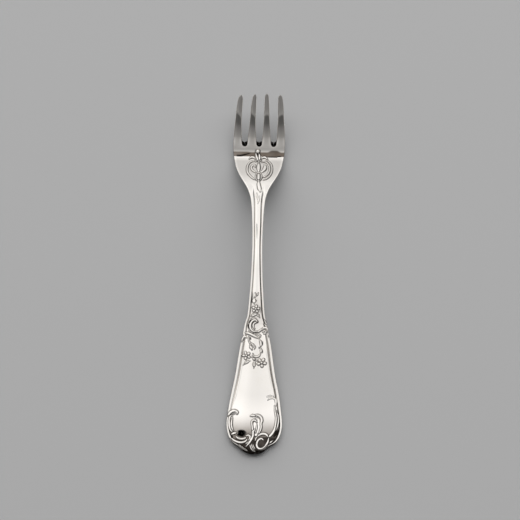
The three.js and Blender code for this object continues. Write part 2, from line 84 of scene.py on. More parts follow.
# Side view of the front's middle line: its slope at places along the fork, and the heights it runs through
HANDLE_REST = 12.5
ARCH_PLACE = 97.5
HEEL = 124.9
TILTS = (
    (-2.0, -0.02), (2.5, -0.04), (5.8, -0.15), (HANDLE_REST, 0.0), (20.0, 0.06), (30.0, 0.115),
    (45.0, 0.15), (60.0, 0.16), (75.0, 0.135), (88.0, 0.07), (ARCH_PLACE, 0.0), (103.0, -0.2),
    (108.0, -0.36), (113.0, -0.47), (118.0, -0.53), (122.2, -0.53), (123.6, -0.4), (HEEL, 0.0),
    (126.0, 0.2), (127.2, 0.28), (132.0, 0.3), (136.0, 0.325), (140.0, 0.365), (143.0, 0.39), (152.0, 0.425),
)
BLADE_METAL = 1.9
HEEL_METAL = 2.0
TIP_HEIGHT = 10.4
METAL = (
    (0.0, BLADE_METAL), (50.0, BLADE_METAL), (87.0, 3.0), (110.0, 2.7), (123.0, HEEL_METAL),
    (SLOT_START, 1.9), (FORK_LENGTH, 1.1),
)
LINE_STEP = 0.02
LINE_MARGIN = 2.0

# Plan: half the width at places along the fork, and the round end of the handle about its widest place
WIDEST = 12.7
BLADE_SPLIT = 30.0
HALF_WIDTHS = (
    (WIDEST, BLADE_HALF), (20.0, 10.85), (32.6, 8.5), (45.9, 6.44), (51.0, 5.4), (54.5, 4.8), (58.0, 3.78),
    (64.0, 3.2), (76.0, 2.5), (88.0, 2.22), (99.0, 2.5), (106.0, 3.1), (110.0, 4.3), (117.4, 8.54),
    (120.5, 9.75), (SLOT_START, HEAD_HALF),
)
OGEE_ANGLE = math.radians(33.0)
OGEE_SPREAD = math.radians(12.0)
OGEE_DEPTHS = {LEFT: 0.55, RIGHT: 0.9}
SHOULDER_NOTCHES = {LEFT: 49.6, RIGHT: 54.3}
NOTCH_DEPTH = 0.3
NOTCH_LENGTH = 0.7
SWELLS = {LEFT: 0.0, RIGHT: 0.22}
SWELL_PLACE = 26.0
SWELL_LENGTH = 6.0

# The thread along the edges, the groove inside it and the thin fillet inside that
THREAD_WIDTHS = (
    (0.0, 0.9), (14.0, 1.0), (26.0, 1.4), (46.0, 1.4), (57.0, 1.0), (95.0, 0.95), (100.0, 1.1), (104.0, 1.35),
    (108.0, 1.7), (112.0, 2.7), (113.2, 2.7), (115.5, 1.1),
)
THREAD_SHARES = ((98.0, 1.0), (104.0, 0.9), (108.0, 0.65), (113.0, 0.0))
FILLET_SHARES = ((19.0, 0.0), (26.0, 1.0), (43.0, 1.0), (48.5, 0.0))
CROWN_SHARES = ((60.0, 1.0), (NECK_START, 0.9), (110.0, 0.15), (122.0, 0.0))
LEAST_FILLET = 0.12
THREAD_LEVEL = 0.9
THREAD_FULLNESS = 8
THREAD_COVER = 0.8
GROOVE_OXIDE = {LEFT: 0.6, RIGHT: 1.0}
GROOVE_WEAR = {LEFT: (0.6, 24.0, 7.0), RIGHT: (0.4, 46.0, 7.0)}
GROOVE_WIDENING = {LEFT: 1.0, RIGHT: 1.2}
WIDENING_RISE = (1.0, 8.0)
STAIN_SPREAD = 0.3
EDGE_SHARE = 0.4
ROLL_REACH = 2.4
ROLL_FADE = (1.5, 9.0)

# Painted dark reflection on the rim of the handle's end, outside and then all over: how it fades along the
# fork and inwards
RIM_PAINTED_REFLECTIONS = (((5.0, 7.5), (0.25, 0.5)), ((1.2, 2.6), (0.9, 1.2)))

# Oxide on the floor of the shell, up to a shore that is higher on the right, and worn inside the ring
FLOOR_OXIDE = 0.9
SHORE = 6.9
SHORE_RISE = 0.9
SHORE_SLOPE = (0.0, 3.0)
SHORE_FADE = (-0.5, 1.0)
RING_WEAR = 0.15
RING_ACROSS = (3.2, 1.7)
RING_ALONG = (4.8, 1.6)

# Clouding of the ground, as a strength and where it comes and goes, and the painted dark reflection in the
# crease at the heel
END_VEIL = (0.9, (-2.0, -1.0), (6.0, 17.5))
SPRAY_VEIL = (0.25, (51.0, 57.0), (62.0, 70.0))
HEAD_VEIL = (0.16, (112.0, 118.0), (123.6, 124.0))
BARE_RIM = (0.5, 1.3)
CREASE = 124.3
CREASE_DROP = 0.3
CREASE_DROP_SPAN = ((1.5, 2.5), (7.4, 8.0))
CREASE_RISE = (0.0, 0.15)
BROW = 126.15
BROW_FADE = (-0.3, 0.5)
BROW_LEFT = 0.15
BROW_LEFT_RISE = (3.0, 5.0)
BROW_RIGHT = 0.7
BROW_RIGHT_PLACE = (6.4, 2.1)
OVAL_PAINTED_REFLECTION = 0.22
OVAL_ACROSS = (6.4, 2.0)
OVAL_ALONG = (125.3, 1.2)
WEDGE_START = (-7.6, 124.62)
WEDGE_SLANT = 0.28
WEDGE_THICKNESS = (0.22, 0.2)
WEDGE_RISE = (4.0, 7.5)
LINE_OFFSET = 0.2
LINE_THICKNESS = 0.25
LINE_FADE = (0.6, 1.5)
LINE_SPAN = ((3.0, 4.4), (8.8, 9.7))

# Tines
SLOT_RADIUS = 1.15
TINE_PITCH = 6.025
TIP_CENTRES = (-7.8, -2.1, 2.85, 8.4)
TIP_SETBACKS = (0.7, 0.25, 0.0, 0.4)
OUTER_TINE_HALVES = ((0.0, 1.76), (3.1, 1.72), (7.2, 1.6), (12.4, 1.32), (17.6, 1.2), (20.7, 1.0))
INNER_TINE_HALVES = ((0.0, 1.86), (3.1, 1.82), (7.2, 1.5), (12.4, 1.22), (17.6, 1.06), (20.7, 0.88))
TIP_NOSE = 1.7
ROOT_LAG = 0.85
SLOT_SLANT = 2.1
TINE_EDGE = 0.34
TINE_EDGE_LIMIT = 0.45
TINE_CROWN = 0.13
TINE_CROWN_RISE = (0.5, 5.0)
TINE_SWAY = 2.5
NOSE_METAL = 0.4
NOSE_BLUNTNESS = 4
LEAST_METAL = 1e-6
SLOT_EDGE = 0.003
SLOT_EDGE_RISE = (1.0, 3.6)
LAP_FADE = (1.5, 4.0)
WALL_PAINTED_SHADE = (0.3, 0.9)
SLOT_PAINTED_SHADE_FADE = (0.9 * SLOT_RADIUS, 1.5 * SLOT_RADIUS)

# Fineness of the grids
EDGE_COLUMNS = 5
FLANK_COLUMNS = 6
GROOVE_COLUMNS = 4
FILLET_COLUMNS = 4
PANEL_COLUMNS = {"end": 100, "spray": 70, "stem": 30, "head": 100}
BACK_COLUMNS = 10
CORNER_COLUMNS = 6
SIDE_PLACES = np.array([0.999, 0.9, 0.4, -0.4, -0.9, -0.999])
FAN_ROWS = 170
CHASED_STEP = 0.11
CHASED_END = 26.0
PLAIN_ROWS = 7
SPRAY_START = 34.5
SPRAY_ROWS = 390
STEM_ROWS = 80
NECK_ROWS = 60
HEAD_ROWS = 300
ROOT_ROWS = 26
SHAFT_ROWS = 90
NOSE_ROWS = 18
WELD = 1e-7


def through(knots, start_slope=0.0, end_slope=0.0):
    """A smooth curve through (place, value) knots: a monotone cubic, which never swings past its knots."""
    place, value = np.array(knots, float).T
    secant = np.diff(value) / np.diff(place)
    rising = secant[:-1] * secant[1:] > 0
    total = np.where(rising, secant[:-1] + secant[1:], 1.0)
    inner = np.where(rising, 2 * secant[:-1] * secant[1:] / total, 0.0)
    slope = np.concatenate([[start_slope], inner, [end_slope]])

    def curve(at):
        """The eased step between a span's end values, plus the bend that its end slopes ask for."""
        at = np.clip(at, place[0], place[-1])
        i = np.clip(np.searchsorted(place, at, side="right") - 1, 0, len(secant) - 1)
        span = place[i + 1] - place[i]
        t = (at - place[i]) / span
        eased = t * t * (3 - 2 * t)
        bend = t * (1 - t) * ((1 - t) * slope[i] - t * slope[i + 1])
        return value[i] + eased * (value[i + 1] - value[i]) + span * bend

    return curve


def smooth(value, low, high):
    """0 below low, 1 above high, eased between."""
    t = np.clip((value - low) / (high - low), 0, 1)
    return t * t * (3 - 2 * t)


def fade(value, low, high):
    """1 below low, 0 above high, eased between."""
    return 1 - smooth(value, low, high)


def bump(value, middle, spread, power=2):
    """1 at the middle, falling to nothing on both sides as exp(-d^power)."""
    return np.exp(-(((value - middle) / spread) ** power))


def middle_line():
    """The front's middle line: the slopes summed along the fork, stretched to meet the anchors' heights."""
    stations = np.arange(-LINE_MARGIN, FORK_LENGTH + LINE_MARGIN, LINE_STEP)
    slope = through(TILTS)(stations)
    climb = np.concatenate([[0.0], np.cumsum((slope[1:] + slope[:-1]) / 2 * LINE_STEP)])
    anchors = (
        (HANDLE_REST, BLADE_METAL), (ARCH_PLACE, ARCH_HEIGHT), (HEEL, HEEL_METAL), (FORK_LENGTH, TIP_HEIGHT),
    )
    place, height = np.array(anchors).T
    reached = np.interp(place, stations, climb)
    i = np.clip(np.searchsorted(place, stations) - 1, 0, len(place) - 2)
    share = (climb - reached[i]) / (reached[i + 1] - reached[i])
    return stations, height[i] + share * (height[i + 1] - height[i])


LINE = middle_line()
half_width = through(HALF_WIDTHS)
metal = through(METAL)
thread_width = through(THREAD_WIDTHS)
thread_share = through(THREAD_SHARES)
fillet_share = through(FILLET_SHARES)
crown_share = through(CROWN_SHARES)


def front_line(station):
    """Height of the front along the middle."""
    return np.interp(station, *LINE)


def back_line(station):
    """Height of the back along the middle. It is worn flat where it rests on the table."""
    return np.maximum(front_line(station) - metal(station), 0.0)


def side_reach(station, side):
    """Half the width on one side, less the small notch where the shoulder's volute leaves the stem. The blade
    is a little fuller on its right."""
    notch = NOTCH_DEPTH * bump(station, SHOULDER_NOTCHES[side], NOTCH_LENGTH)
    return half_width(station) - notch + SWELLS[side] * bump(station, SWELL_PLACE, SWELL_LENGTH)


def end_reach(angle, side):
    """From the widest place to the edge of the round end: an ellipse, drawn in by an ogee on each side that
    has faded out where the two sides meet."""
    ellipse = 1 / np.hypot(np.sin(angle) / BLADE_HALF, np.cos(angle) / WIDEST)
    ogee = OGEE_DEPTHS[side] * bump(angle, OGEE_ANGLE, OGEE_SPREAD)
    return ellipse - ogee * smooth(angle, 0.0, OGEE_SPREAD)


def end_share(x, station):
    """Share of the way from the widest place to the edge of the round end."""
    across = np.abs(x)
    along = WIDEST - station
    angle = np.arctan2(across, along)
    return np.hypot(across, along) / np.where(x < 0, end_reach(angle, LEFT), end_reach(angle, RIGHT))


class Rows:
    """Lines across the fork: a centre, and on each side a direction and a reach to the edge."""

    def __init__(self, centres, directions, reaches):
        self.centres = centres
        self.directions = directions
        self.reaches = reaches

    @classmethod
    def straight(cls, stations):
        """Lines square to the fork."""
        centres = np.stack([np.zeros_like(stations), stations], axis=1)
        across = np.tile([1.0, 0.0], (len(stations), 1))
        reaches = {side: side_reach(stations, side) for side in SIDES}
        return cls(centres, {side: side * across for side in SIDES}, reaches)

    @classmethod
    def fan(cls, angles):
        """Pairs of rays from the widest place of the handle, folding together at its end."""
        centres = np.tile([0.0, WIDEST], (len(angles), 1))
        rays = {side: np.stack([side * np.sin(angles), -np.cos(angles)], axis=1) for side in SIDES}
        return cls(centres, rays, {side: end_reach(angles, side) for side in SIDES})

    def joined(self, other):
        """These lines, then the other ones."""
        return Rows(
            np.concatenate([self.centres, other.centres]),
            {side: np.concatenate([self.directions[side], other.directions[side]]) for side in SIDES},
            {side: np.concatenate([self.reaches[side], other.reaches[side]]) for side in SIDES},
        )

    def half(self, side, inset):
        """Plan places at distances in from the edge, as (x, station, share of the way out)."""
        reach = self.reaches[side][:, None]
        out = reach - inset
        place = self.centres[:, None, :] + self.directions[side][:, None, :] * out[:, :, None]
        return place[:, :, 0], place[:, :, 1], out / reach

    def edge_stations(self, side):
        """Stations of the edge points."""
        return self.centres[:, 1] + self.directions[side][:, 1] * self.reaches[side]


def catmull(points, steps=10):
    """A smooth path through given (x, station) points: a Catmull-Rom spline."""
    p = np.array(points, float)
    p = np.concatenate([2 * p[:1] - p[1:2], p, 2 * p[-1:] - p[-2:-1]])
    t = np.linspace(0, 1, steps, endpoint=False)[:, None]
    spans = []
    for a, b, c, d in zip(p[:-3], p[1:-2], p[2:-1], p[3:]):
        cubic = (3 * b - a - 3 * c + d) * t + (2 * a - 5 * b + 4 * c - d)
        spans.append((cubic * t + (c - a)) * t / 2 + b)
    return np.concatenate([*spans, p[-2:-1]])


def oval_path(centre, radii, steps=64):
    """A closed path round an ellipse."""
    angle = 2 * math.pi * np.linspace(0, 1, steps)[:, None]
    return np.array(centre) + np.hstack([np.cos(angle), np.sin(angle)]) * np.array(radii)


def flank(q, level=0.6):
    """How a struck ridge falls to the ground: level out to most of its half width, then steep."""
    return fade(q, level, 1.0)


def round_section(q, crown=0.12):
    """A ridge with a softly crowned top: a parabola, cut down by the flank."""
    return (1 - crown * q * q) * flank(q)


def hollow_section(q, floor=0.6, rims=(0.1, 0.7)):
    """A channel between two raised rims: the flank, lowered to a floor along its middle."""
    return flank(q) * (floor + (1 - floor) * smooth(q, *rims))


def leaf_section(q, floor=0.75, vein=0.3):
    """A leaf with a sunk vein: the flank, lowered a little along its middle."""
    return flank(q) * (floor + (1 - floor) * smooth(q, 0.0, vein))


class Relief:
    """Raised work on a front: a height, how deep in oxide and painted shade each place lies, and which places
    the work covers.

    The swell widens the strokes, and the moat is the chased groove beside them, with oxide in it and painted
    shade on its lower right side."""

    MOAT_DEPTH = 0.1
    LEE = np.array([0.55, -0.835])
    LEE_WIDENING = 0.4
    SHADE = 0.85
    LEE_PAINTED_SHADE = 0.25
    FOOT = 0.82
    FULL = (-0.2, 0.7)
    PETALS = 5
    PETAL_PATH = np.linspace(0.3, 0.75, 6)
    PETAL_HALVES = np.array([0.16, 0.29, 0.31])
    BOSS_RADIUS = 0.27
    BOSS_SHARE = 1.1
    POOL_FADE = (0.5, 1.4)

    def __init__(self, x, station, height, groove, cover, rise):
        self.x = x
        self.station = station
        self.height = height
        self.groove = groove
        self.cover = cover
        self.rise = rise
        self.oxide = 1.0
        self.moat_width = 0.3
        self.swell = 1.0

    def near(self, path, margin):
        """Which places lie close enough to a path to be changed by it."""
        low = path.min(axis=0) - margin
        high = path.max(axis=0) + margin
        inside = (self.x > low[0]) & (self.x < high[0]) & (self.station > low[1]) & (self.station < high[1])
        return np.nonzero(inside)

    def stroke(self, path, widths, share, section=round_section):
        """A ridge along a path, and a chased groove beside it that is wider on its lower right and painted
        darker there, as shade.

        A place's height is a share of the full rise times the ridge's section, taken at the place's distance
        from the path over half the width there. The half widths are spread evenly along the path."""
        widths = self.swell * np.atleast_1d(np.array(widths, float))
        found = self.near(path, widths.max() + 2 * self.moat_width)
        place = np.stack([self.x[found], self.station[found]], axis=1)[:, None, :]
        start = path[:-1]
        step = path[1:] - start
        t = np.clip(np.sum((place - start) * step, axis=2) / np.sum(step * step, axis=1), 0, 1)
        offset = place - start - t[:, :, None] * step
        distance = np.linalg.norm(offset, axis=2)
        nearest = distance.argmin(axis=1)
        each = np.arange(len(nearest))
        distance = distance[each, nearest]
        lee = offset[each, nearest] @ self.LEE / np.maximum(distance, WELD)
        along = (nearest + t[each, nearest]) / len(step)
        even = np.linspace(0, 1, len(widths))
        half = through(np.stack([even, widths], axis=1))(along) if len(widths) > 1 else widths[0]
        full = smooth(half / widths.max(), *self.FULL)
        ridge = share * self.rise * section(np.minimum(distance / half, 1.0)) * full
        moat_width = self.moat_width * (1 + self.LEE_WIDENING * lee)
        moat = full**2 * np.clip(1 - (distance - half) / moat_width, 0, 1)
        inside = distance < half
        foot = smooth(distance / half, self.FOOT, 1.0)
        old = self.height[found]
        lift = inside * np.maximum(ridge - old, 0.0) * (1 - foot)
        self.height[found] = old + lift - self.MOAT_DEPTH * moat * np.where(inside, foot, 1.0)
        # Painted shade: the oxide is painted darker on the lower right of each stroke and lighter on its
        # upper left, as if lit from the upper left
        shade = self.oxide * (self.SHADE + self.LEE_PAINTED_SHADE * lee)
        stain = np.maximum(self.groove[found], shade * np.sqrt(moat))
        self.groove[found] = np.where(inside, shade * foot, stain)
        self.cover[found] = np.where(inside, 1 - foot, self.cover[found] * (1 - moat))

    def draw(self, strokes):
        """Ridges through listed points, in their order."""
        for share, points, *section in strokes:
            knots = np.array(points)
            self.stroke(catmull(knots[:, :2]), knots[:, 2], share, *section)

    def knob(self, centre, radius, share):
        """A round boss: a stroke of almost no length."""
        x, station = centre
        self.stroke(np.array([(x, station), (x, station + radius / 20)]), radius, share)

    def flower(self, centre, radius, turn, share):
        """Round petals about a boss: short strokes that lead out from it, spread evenly all round."""
        for angle in np.linspace(0, 2 * math.pi, self.PETALS, endpoint=False) + math.radians(turn):
            way = np.array([math.cos(angle), math.sin(angle)])
            path = np.array(centre) + np.outer(self.PETAL_PATH * radius, way)
            self.stroke(path, self.PETAL_HALVES * radius, share)
        self.knob(centre, self.BOSS_RADIUS * radius, self.BOSS_SHARE * share)

    def flood(self, oxide):
        """Oxide over the bare ground: the larger of what is there and what is added outside the work."""
        np.maximum(self.groove, oxide * (1 - self.cover), out=self.groove)

    def stain(self, pools):
        """Oxide left in hollows of the ground: ellipses turned anticlockwise by an angle in degrees."""
        for centre, radii, turn, strength in pools:
            angle = math.radians(turn)
            x = self.x - centre[0]
            station = self.station - centre[1]
            first = (x * math.cos(angle) + station * math.sin(angle)) / radii[0]
            second = (station * math.cos(angle) - x * math.sin(angle)) / radii[1]
            self.flood(strength * fade(np.hypot(first, second), *self.POOL_FADE))


# Strokes of the ornament, the later ones over the earlier ones: a share of the relief's height, the points as
# (x, station, half width), and the section where it isn't round. A pool of oxide has a centre, two radii, a
# turn in degrees and a strength.
LEFT_SHELL = (
    (0.7, ((-6.2, 4.0, 0.18), (-4.8, 2.9, 0.3), (-3.7, 2.1, 0.3), (-2.7, 1.6, 0.15))),
    (0.75, ((-1.7, 4.4, 0.15), (-1.35, 3.0, 0.26), (-0.5, 1.8, 0.26), (0.5, 1.4, 0.15))),
    (0.75, ((-0.95, 4.5, 0.15), (-0.65, 3.2, 0.26), (0.1, 2.2, 0.2))),
    (0.7, ((-0.25, 4.2, 0.15), (0.0, 3.2, 0.22), (0.5, 2.5, 0.15))),
    (0.7, ((6.3, 4.6, 0.12), (7.1, 5.4, 0.3), (7.9, 6.0, 0.12))),
    (0.9, ((-7.3, 17.0, 0.3), (-7.2, 17.6, 0.4), (-7.9, 18.1, 0.44), (-8.9, 18.1, 0.48), (-9.9, 17.6, 0.5),
           (-10.6, 16.8, 0.46), (-11.0, 15.8, 0.2))),
    (1.0, ((-9.2, 16.0, 0.15), (-10.0, 15.9, 0.3), (-10.5, 14.8, 0.36), (-10.55, 13.2, 0.38),
           (-10.35, 11.6, 0.38), (-9.9, 10.3, 0.36), (-9.2, 9.3, 0.25))),
    (0.9, ((-9.1, 15.2, 0.12), (-9.45, 14.0, 0.3), (-9.55, 12.6, 0.34), (-9.35, 11.2, 0.34),
           (-8.8, 9.9, 0.2))),
    (1.1, ((-9.3, 8.4, 0.3), (-8.5, 8.8, 0.5), (-7.6, 9.0, 0.3))),
    (0.6, ((-7.6, 7.5, 0.2), (-6.7, 6.85, 0.36), (-5.3, 6.5, 0.4), (-4.0, 6.75, 0.34), (-3.4, 7.2, 0.2))),
    (1.1, ((-9.3, 6.6, 0.3), (-8.2, 5.75, 0.42), (-6.6, 5.15, 0.46), (-4.9, 5.1, 0.44), (-3.6, 5.6, 0.36),
           (-2.9, 6.4, 0.2))),
    (1.15, ((-3.3, 7.7, 0.2), (-2.6, 8.1, 0.36), (-1.9, 7.8, 0.42), (-1.6, 7.1, 0.42), (-1.9, 6.4, 0.36),
            (-2.4, 6.1, 0.2))),
)
WORN_FEATHER = (
    (0.3, ((5.0, 24.2, 0.1), (6.3, 24.5, 0.22), (7.6, 24.3, 0.1))),
    (0.4, ((8.9, 20.6, 0.25), (8.9, 22.1, 0.35), (8.5, 23.2, 0.35), (7.6, 23.7, 0.3), (6.3, 23.5, 0.25),
           (5.4, 22.8, 0.12))),
)
RIGHT_SHELL = (
    (0.95, ((9.0, 18.5, 0.12), (9.8, 16.4, 0.3), (10.0, 14.4, 0.34), (9.8, 12.5, 0.34), (9.3, 10.9, 0.3),
            (8.6, 9.7, 0.2))),
    (1.0, ((8.3, 20.5, 0.15), (8.55, 18.4, 0.26), (9.05, 16.0, 0.32), (9.05, 14.0, 0.34),
           (8.75, 12.0, 0.36), (8.4, 10.6, 0.42), (7.7, 9.2, 0.48), (6.8, 8.1, 0.48), (6.1, 7.4, 0.3))),
    (1.15, ((0.5, 6.0, 0.2), (1.0, 7.3, 0.34), (2.0, 8.25, 0.44), (3.2, 8.75, 0.48), (4.5, 8.75, 0.46),
            (5.4, 8.2, 0.4), (5.7, 7.6, 0.25))),
    (1.1, ((6.1, 6.9, 0.25), (5.8, 5.6, 0.4), (5.2, 4.2, 0.48), (4.4, 3.1, 0.5), (3.3, 2.5, 0.5),
           (2.2, 2.6, 0.48), (1.4, 3.3, 0.44), (1.15, 4.5, 0.4), (1.5, 5.7, 0.4), (2.2, 6.5, 0.4),
           (3.1, 6.8, 0.38), (3.8, 6.3, 0.25))),
    (0.35, ((0.6, 8.4, 0.7), (0.9, 10.0, 1.2), (1.0, 12.0, 1.6), (1.2, 14.0, 1.1)), hollow_section),
    (0.55, ((0.6, 9.2, 0.15), (0.9, 11.0, 0.25), (1.1, 12.6, 0.12))),
    (0.9, ((-0.5, 9.0, 0.3), (-0.7, 10.6, 0.32), (-0.9, 12.0, 0.3), (-1.1, 13.2, 0.3), (-0.9, 14.0, 0.32),
           (-0.3, 14.4, 0.36), (0.5, 14.2, 0.34), (1.0, 13.5, 0.2))),
    (1.05, ((2.0, 9.0, 0.2), (2.6, 10.2, 0.3), (2.9, 11.6, 0.34), (2.8, 13.0, 0.36), (3.1, 14.4, 0.45),
            (2.7, 15.6, 0.45), (1.6, 16.4, 0.4), (0.4, 16.5, 0.25))),
    (1.0, ((0.1, 16.2, 0.3), (-0.8, 16.3, 0.42), (-1.6, 16.1, 0.2))),
    (0.7, ((-1.9, 6.0, 0.15), (-2.7, 5.0, 0.28), (-3.6, 4.4, 0.12))),
    (1.1, ((0.2, 10.5, 0.2), (-0.5, 9.4, 0.5), (-0.5, 8.0, 0.42), (-1.0, 6.6, 0.42), (-1.7, 5.4, 0.4),
           (-2.5, 4.3, 0.34), (-3.3, 3.4, 0.2))),
)
SHELL_POOLS = (
    ((-8.9, 16.7), (1.4, 0.5), 12.0, 0.8),
    ((-10.6, 9.4), (0.5, 1.7), 20.0, 1.0),
    ((-9.2, 7.4), (0.5, 0.7), 30.0, 1.0),
    ((9.2, 9.0), (0.9, 2.6), -35.0, 1.0),
    ((10.5, 13.0), (0.4, 3.0), 0.0, 1.0),
    ((0.3, 13.4), (0.7, 0.5), -40.0, 1.0),
    ((1.5, 11.6), (0.9, 2.2), 0.0, 0.4),
    ((0.3, 11.3), (0.3, 0.9), 0.0, 0.8),
)


def chase_handle_end(relief):
    """The shell at the handle's end: two side scrolls, a crescent, a curled plume and a ring."""
    relief.swell = 1.25
    relief.draw(LEFT_SHELL)
    relief.oxide = 0.22
    relief.draw(WORN_FEATHER)
    relief.oxide = 1.0
    relief.draw(RIGHT_SHELL)
    relief.flood(shell_floor(relief.x, relief.station))
    relief.stain(SHELL_POOLS)


SPRIG = (
    (0.5, ((-0.6, 67.6, 0.1), (-0.2, 66.6, 0.22), (-0.9, 65.6, 0.12))),
    (0.5, ((0.7, 67.6, 0.1), (0.3, 66.7, 0.22))),
    (0.85, ((-0.9, 65.7, 0.1), (-1.0, 64.2, 0.86), (-0.8, 62.8, 0.1))),
    (0.65, ((0.2, 58.8, 0.15), (0.9, 58.2, 0.42), (1.5, 57.3, 0.1)), leaf_section),
    (0.55, ((-2.2, 56.8, 0.1), (-1.2, 57.1, 0.34), (-0.2, 57.0, 0.1)), leaf_section),
    (0.75, ((-2.3, 57.8, 0.1), (-1.3, 58.3, 0.56), (-0.3, 58.8, 0.56), (0.6, 59.0, 0.15)), leaf_section),
)
SCROLL = (
    (0.85, ((-2.8, 51.8, 0.2), (-1.6, 51.2, 0.34), (-0.2, 51.3, 0.36), (1.2, 51.6, 0.36), (2.2, 52.3, 0.36),
            (3.1, 53.0, 0.3))),
    (0.8, ((0.5, 55.5, 0.3), (-0.2, 55.3, 0.38), (-0.9, 54.8, 0.38), (-1.15, 54.0, 0.36),
           (-0.95, 53.2, 0.3), (-0.4, 52.6, 0.12))),
    (1.1, ((0.35, 55.8, 0.36), (-0.3, 56.35, 0.42), (-1.4, 56.0, 0.46), (-2.2, 54.9, 0.5),
           (-2.45, 53.5, 0.5), (-2.0, 52.3, 0.46), (-1.0, 51.6, 0.4), (0.4, 51.5, 0.2))),
)
SHOULDER_CURLS = (
    (0.8, ((3.5, 56.2, 0.2), (4.1, 55.0, 0.36), (4.8, 54.2, 0.2))),
    (0.9, ((2.9, 51.3, 0.2), (3.4, 51.9, 0.28), (4.0, 51.6, 0.3), (4.0, 50.9, 0.28), (3.4, 50.6, 0.2))),
)
VOLUTES = (
    (1.1, ((5.35, 48.6, 0.04), (5.4, 50.4, 0.44), (5.2, 51.8, 0.52), (4.5, 52.9, 0.54), (3.4, 53.1, 0.46),
           (2.6, 52.4, 0.24))),
    (1.1, ((-5.8, 46.4, 0.04), (-5.6, 48.0, 0.5), (-5.15, 49.0, 0.56), (-4.4, 49.3, 0.52),
           (-3.8, 48.8, 0.26))),
)
VINE = (
    (0.8, ((0.2, 50.4, 0.2), (1.1, 50.3, 0.3), (1.8, 49.8, 0.3), (1.8, 49.2, 0.15))),
    (0.9, ((-4.2, 50.9, 0.3), (-2.8, 50.6, 0.6), (-1.2, 49.9, 0.58), (0.2, 49.2, 0.44), (1.3, 48.7, 0.25))),
    (0.8, ((1.5, 48.2, 0.12), (2.0, 47.2, 0.42), (2.2, 46.1, 0.48), (2.0, 45.0, 0.15))),
    (0.8, ((2.1, 44.6, 0.15), (2.3, 43.4, 0.44), (2.0, 42.2, 0.15))),
    (0.8, ((2.0, 42.2, 0.2), (1.3, 41.2, 0.36), (0.2, 40.9, 0.38), (-0.9, 41.3, 0.34), (-1.1, 42.2, 0.15))),
    (0.7, ((-3.0, 49.2, 0.15), (-2.9, 47.9, 0.24), (-2.4, 46.6, 0.24), (-1.9, 45.7, 0.2))),
    (0.7, ((-2.0, 46.8, 0.12), (-1.0, 45.8, 0.34), (-0.4, 44.9, 0.36), (-0.5, 44.1, 0.12)), leaf_section),
    (0.85, ((-2.4, 45.6, 0.2), (-1.9, 44.8, 0.6), (-1.5, 43.9, 0.25))),
    (0.5, ((-0.9, 41.0, 0.18), (-1.9, 40.8, 0.18), (-2.9, 41.2, 0.18))),
    (0.5, ((-0.3, 39.8, 0.18), (0.7, 39.2, 0.18), (1.7, 38.8, 0.18))),
    (0.75, ((-2.1, 39.2, 0.12), (-3.5, 38.8, 0.6), (-5.1, 37.3, 0.1)), leaf_section),
    (0.8, ((-0.4, 39.2, 0.25), (-0.5, 37.6, 0.62), (-0.6, 36.1, 0.1)), leaf_section),
)
SPRAY_POOLS = (
    ((2.9, 46.6), (0.25, 0.9), 0.0, 0.9),
    ((1.5, 44.7), (0.3, 0.5), 0.0, 0.9),
    ((2.9, 43.1), (0.25, 0.7), 0.0, 0.9),
    ((-2.55, 55.7), (0.35, 1.1), -32.0, 1.0),
    ((-3.15, 53.6), (0.3, 1.3), 4.0, 1.0),
    ((-2.1, 64.6), (0.35, 1.9), -4.0, 0.9),
    ((-2.6, 60.4), (0.4, 1.9), -6.0, 0.45),
    ((3.9, 53.9), (0.4, 0.5), 0.0, 1.0),
    ((-1.7, 66.4), (0.4, 1.4), -4.0, 0.6),
    ((-0.65, 52.2), (0.35, 0.3), 0.0, 0.9),
    ((0.7, 50.1), (1.2, 0.3), -8.0, 0.7),
    ((-2.2, 48.6), (0.35, 0.7), 10.0, 0.9),
    ((1.6, 60.6), (0.4, 1.6), 4.0, 0.45),
)


def chase_handle_top(relief):
    """The spray at the top of the blade: volutes on both shoulders, a scroll, a vine and flowers."""
    relief.swell = 1.08
    relief.moat_width = 0.26
    relief.oxide = 0.82
    relief.draw(SPRIG)
    relief.flower((-0.2, 60.9), radius=1.6, turn=80.0, share=0.8)
    relief.oxide = 1.0
    relief.draw(SCROLL)
    relief.oxide = 0.82
    relief.draw(SHOULDER_CURLS)
    relief.moat_width = 0.14
    relief.oxide = 0.6
    relief.draw(VOLUTES)
    relief.moat_width = 0.26
    relief.oxide = 0.82
    relief.draw(VINE)
    relief.knob((-0.6, 40.0), radius=0.5, share=0.8)
    relief.flower((-3.8, 41.4), radius=1.7, turn=40.0, share=0.75)
    relief.flower((2.6, 38.5), radius=1.9, turn=60.0, share=0.85)
    relief.stain(SPRAY_POOLS)


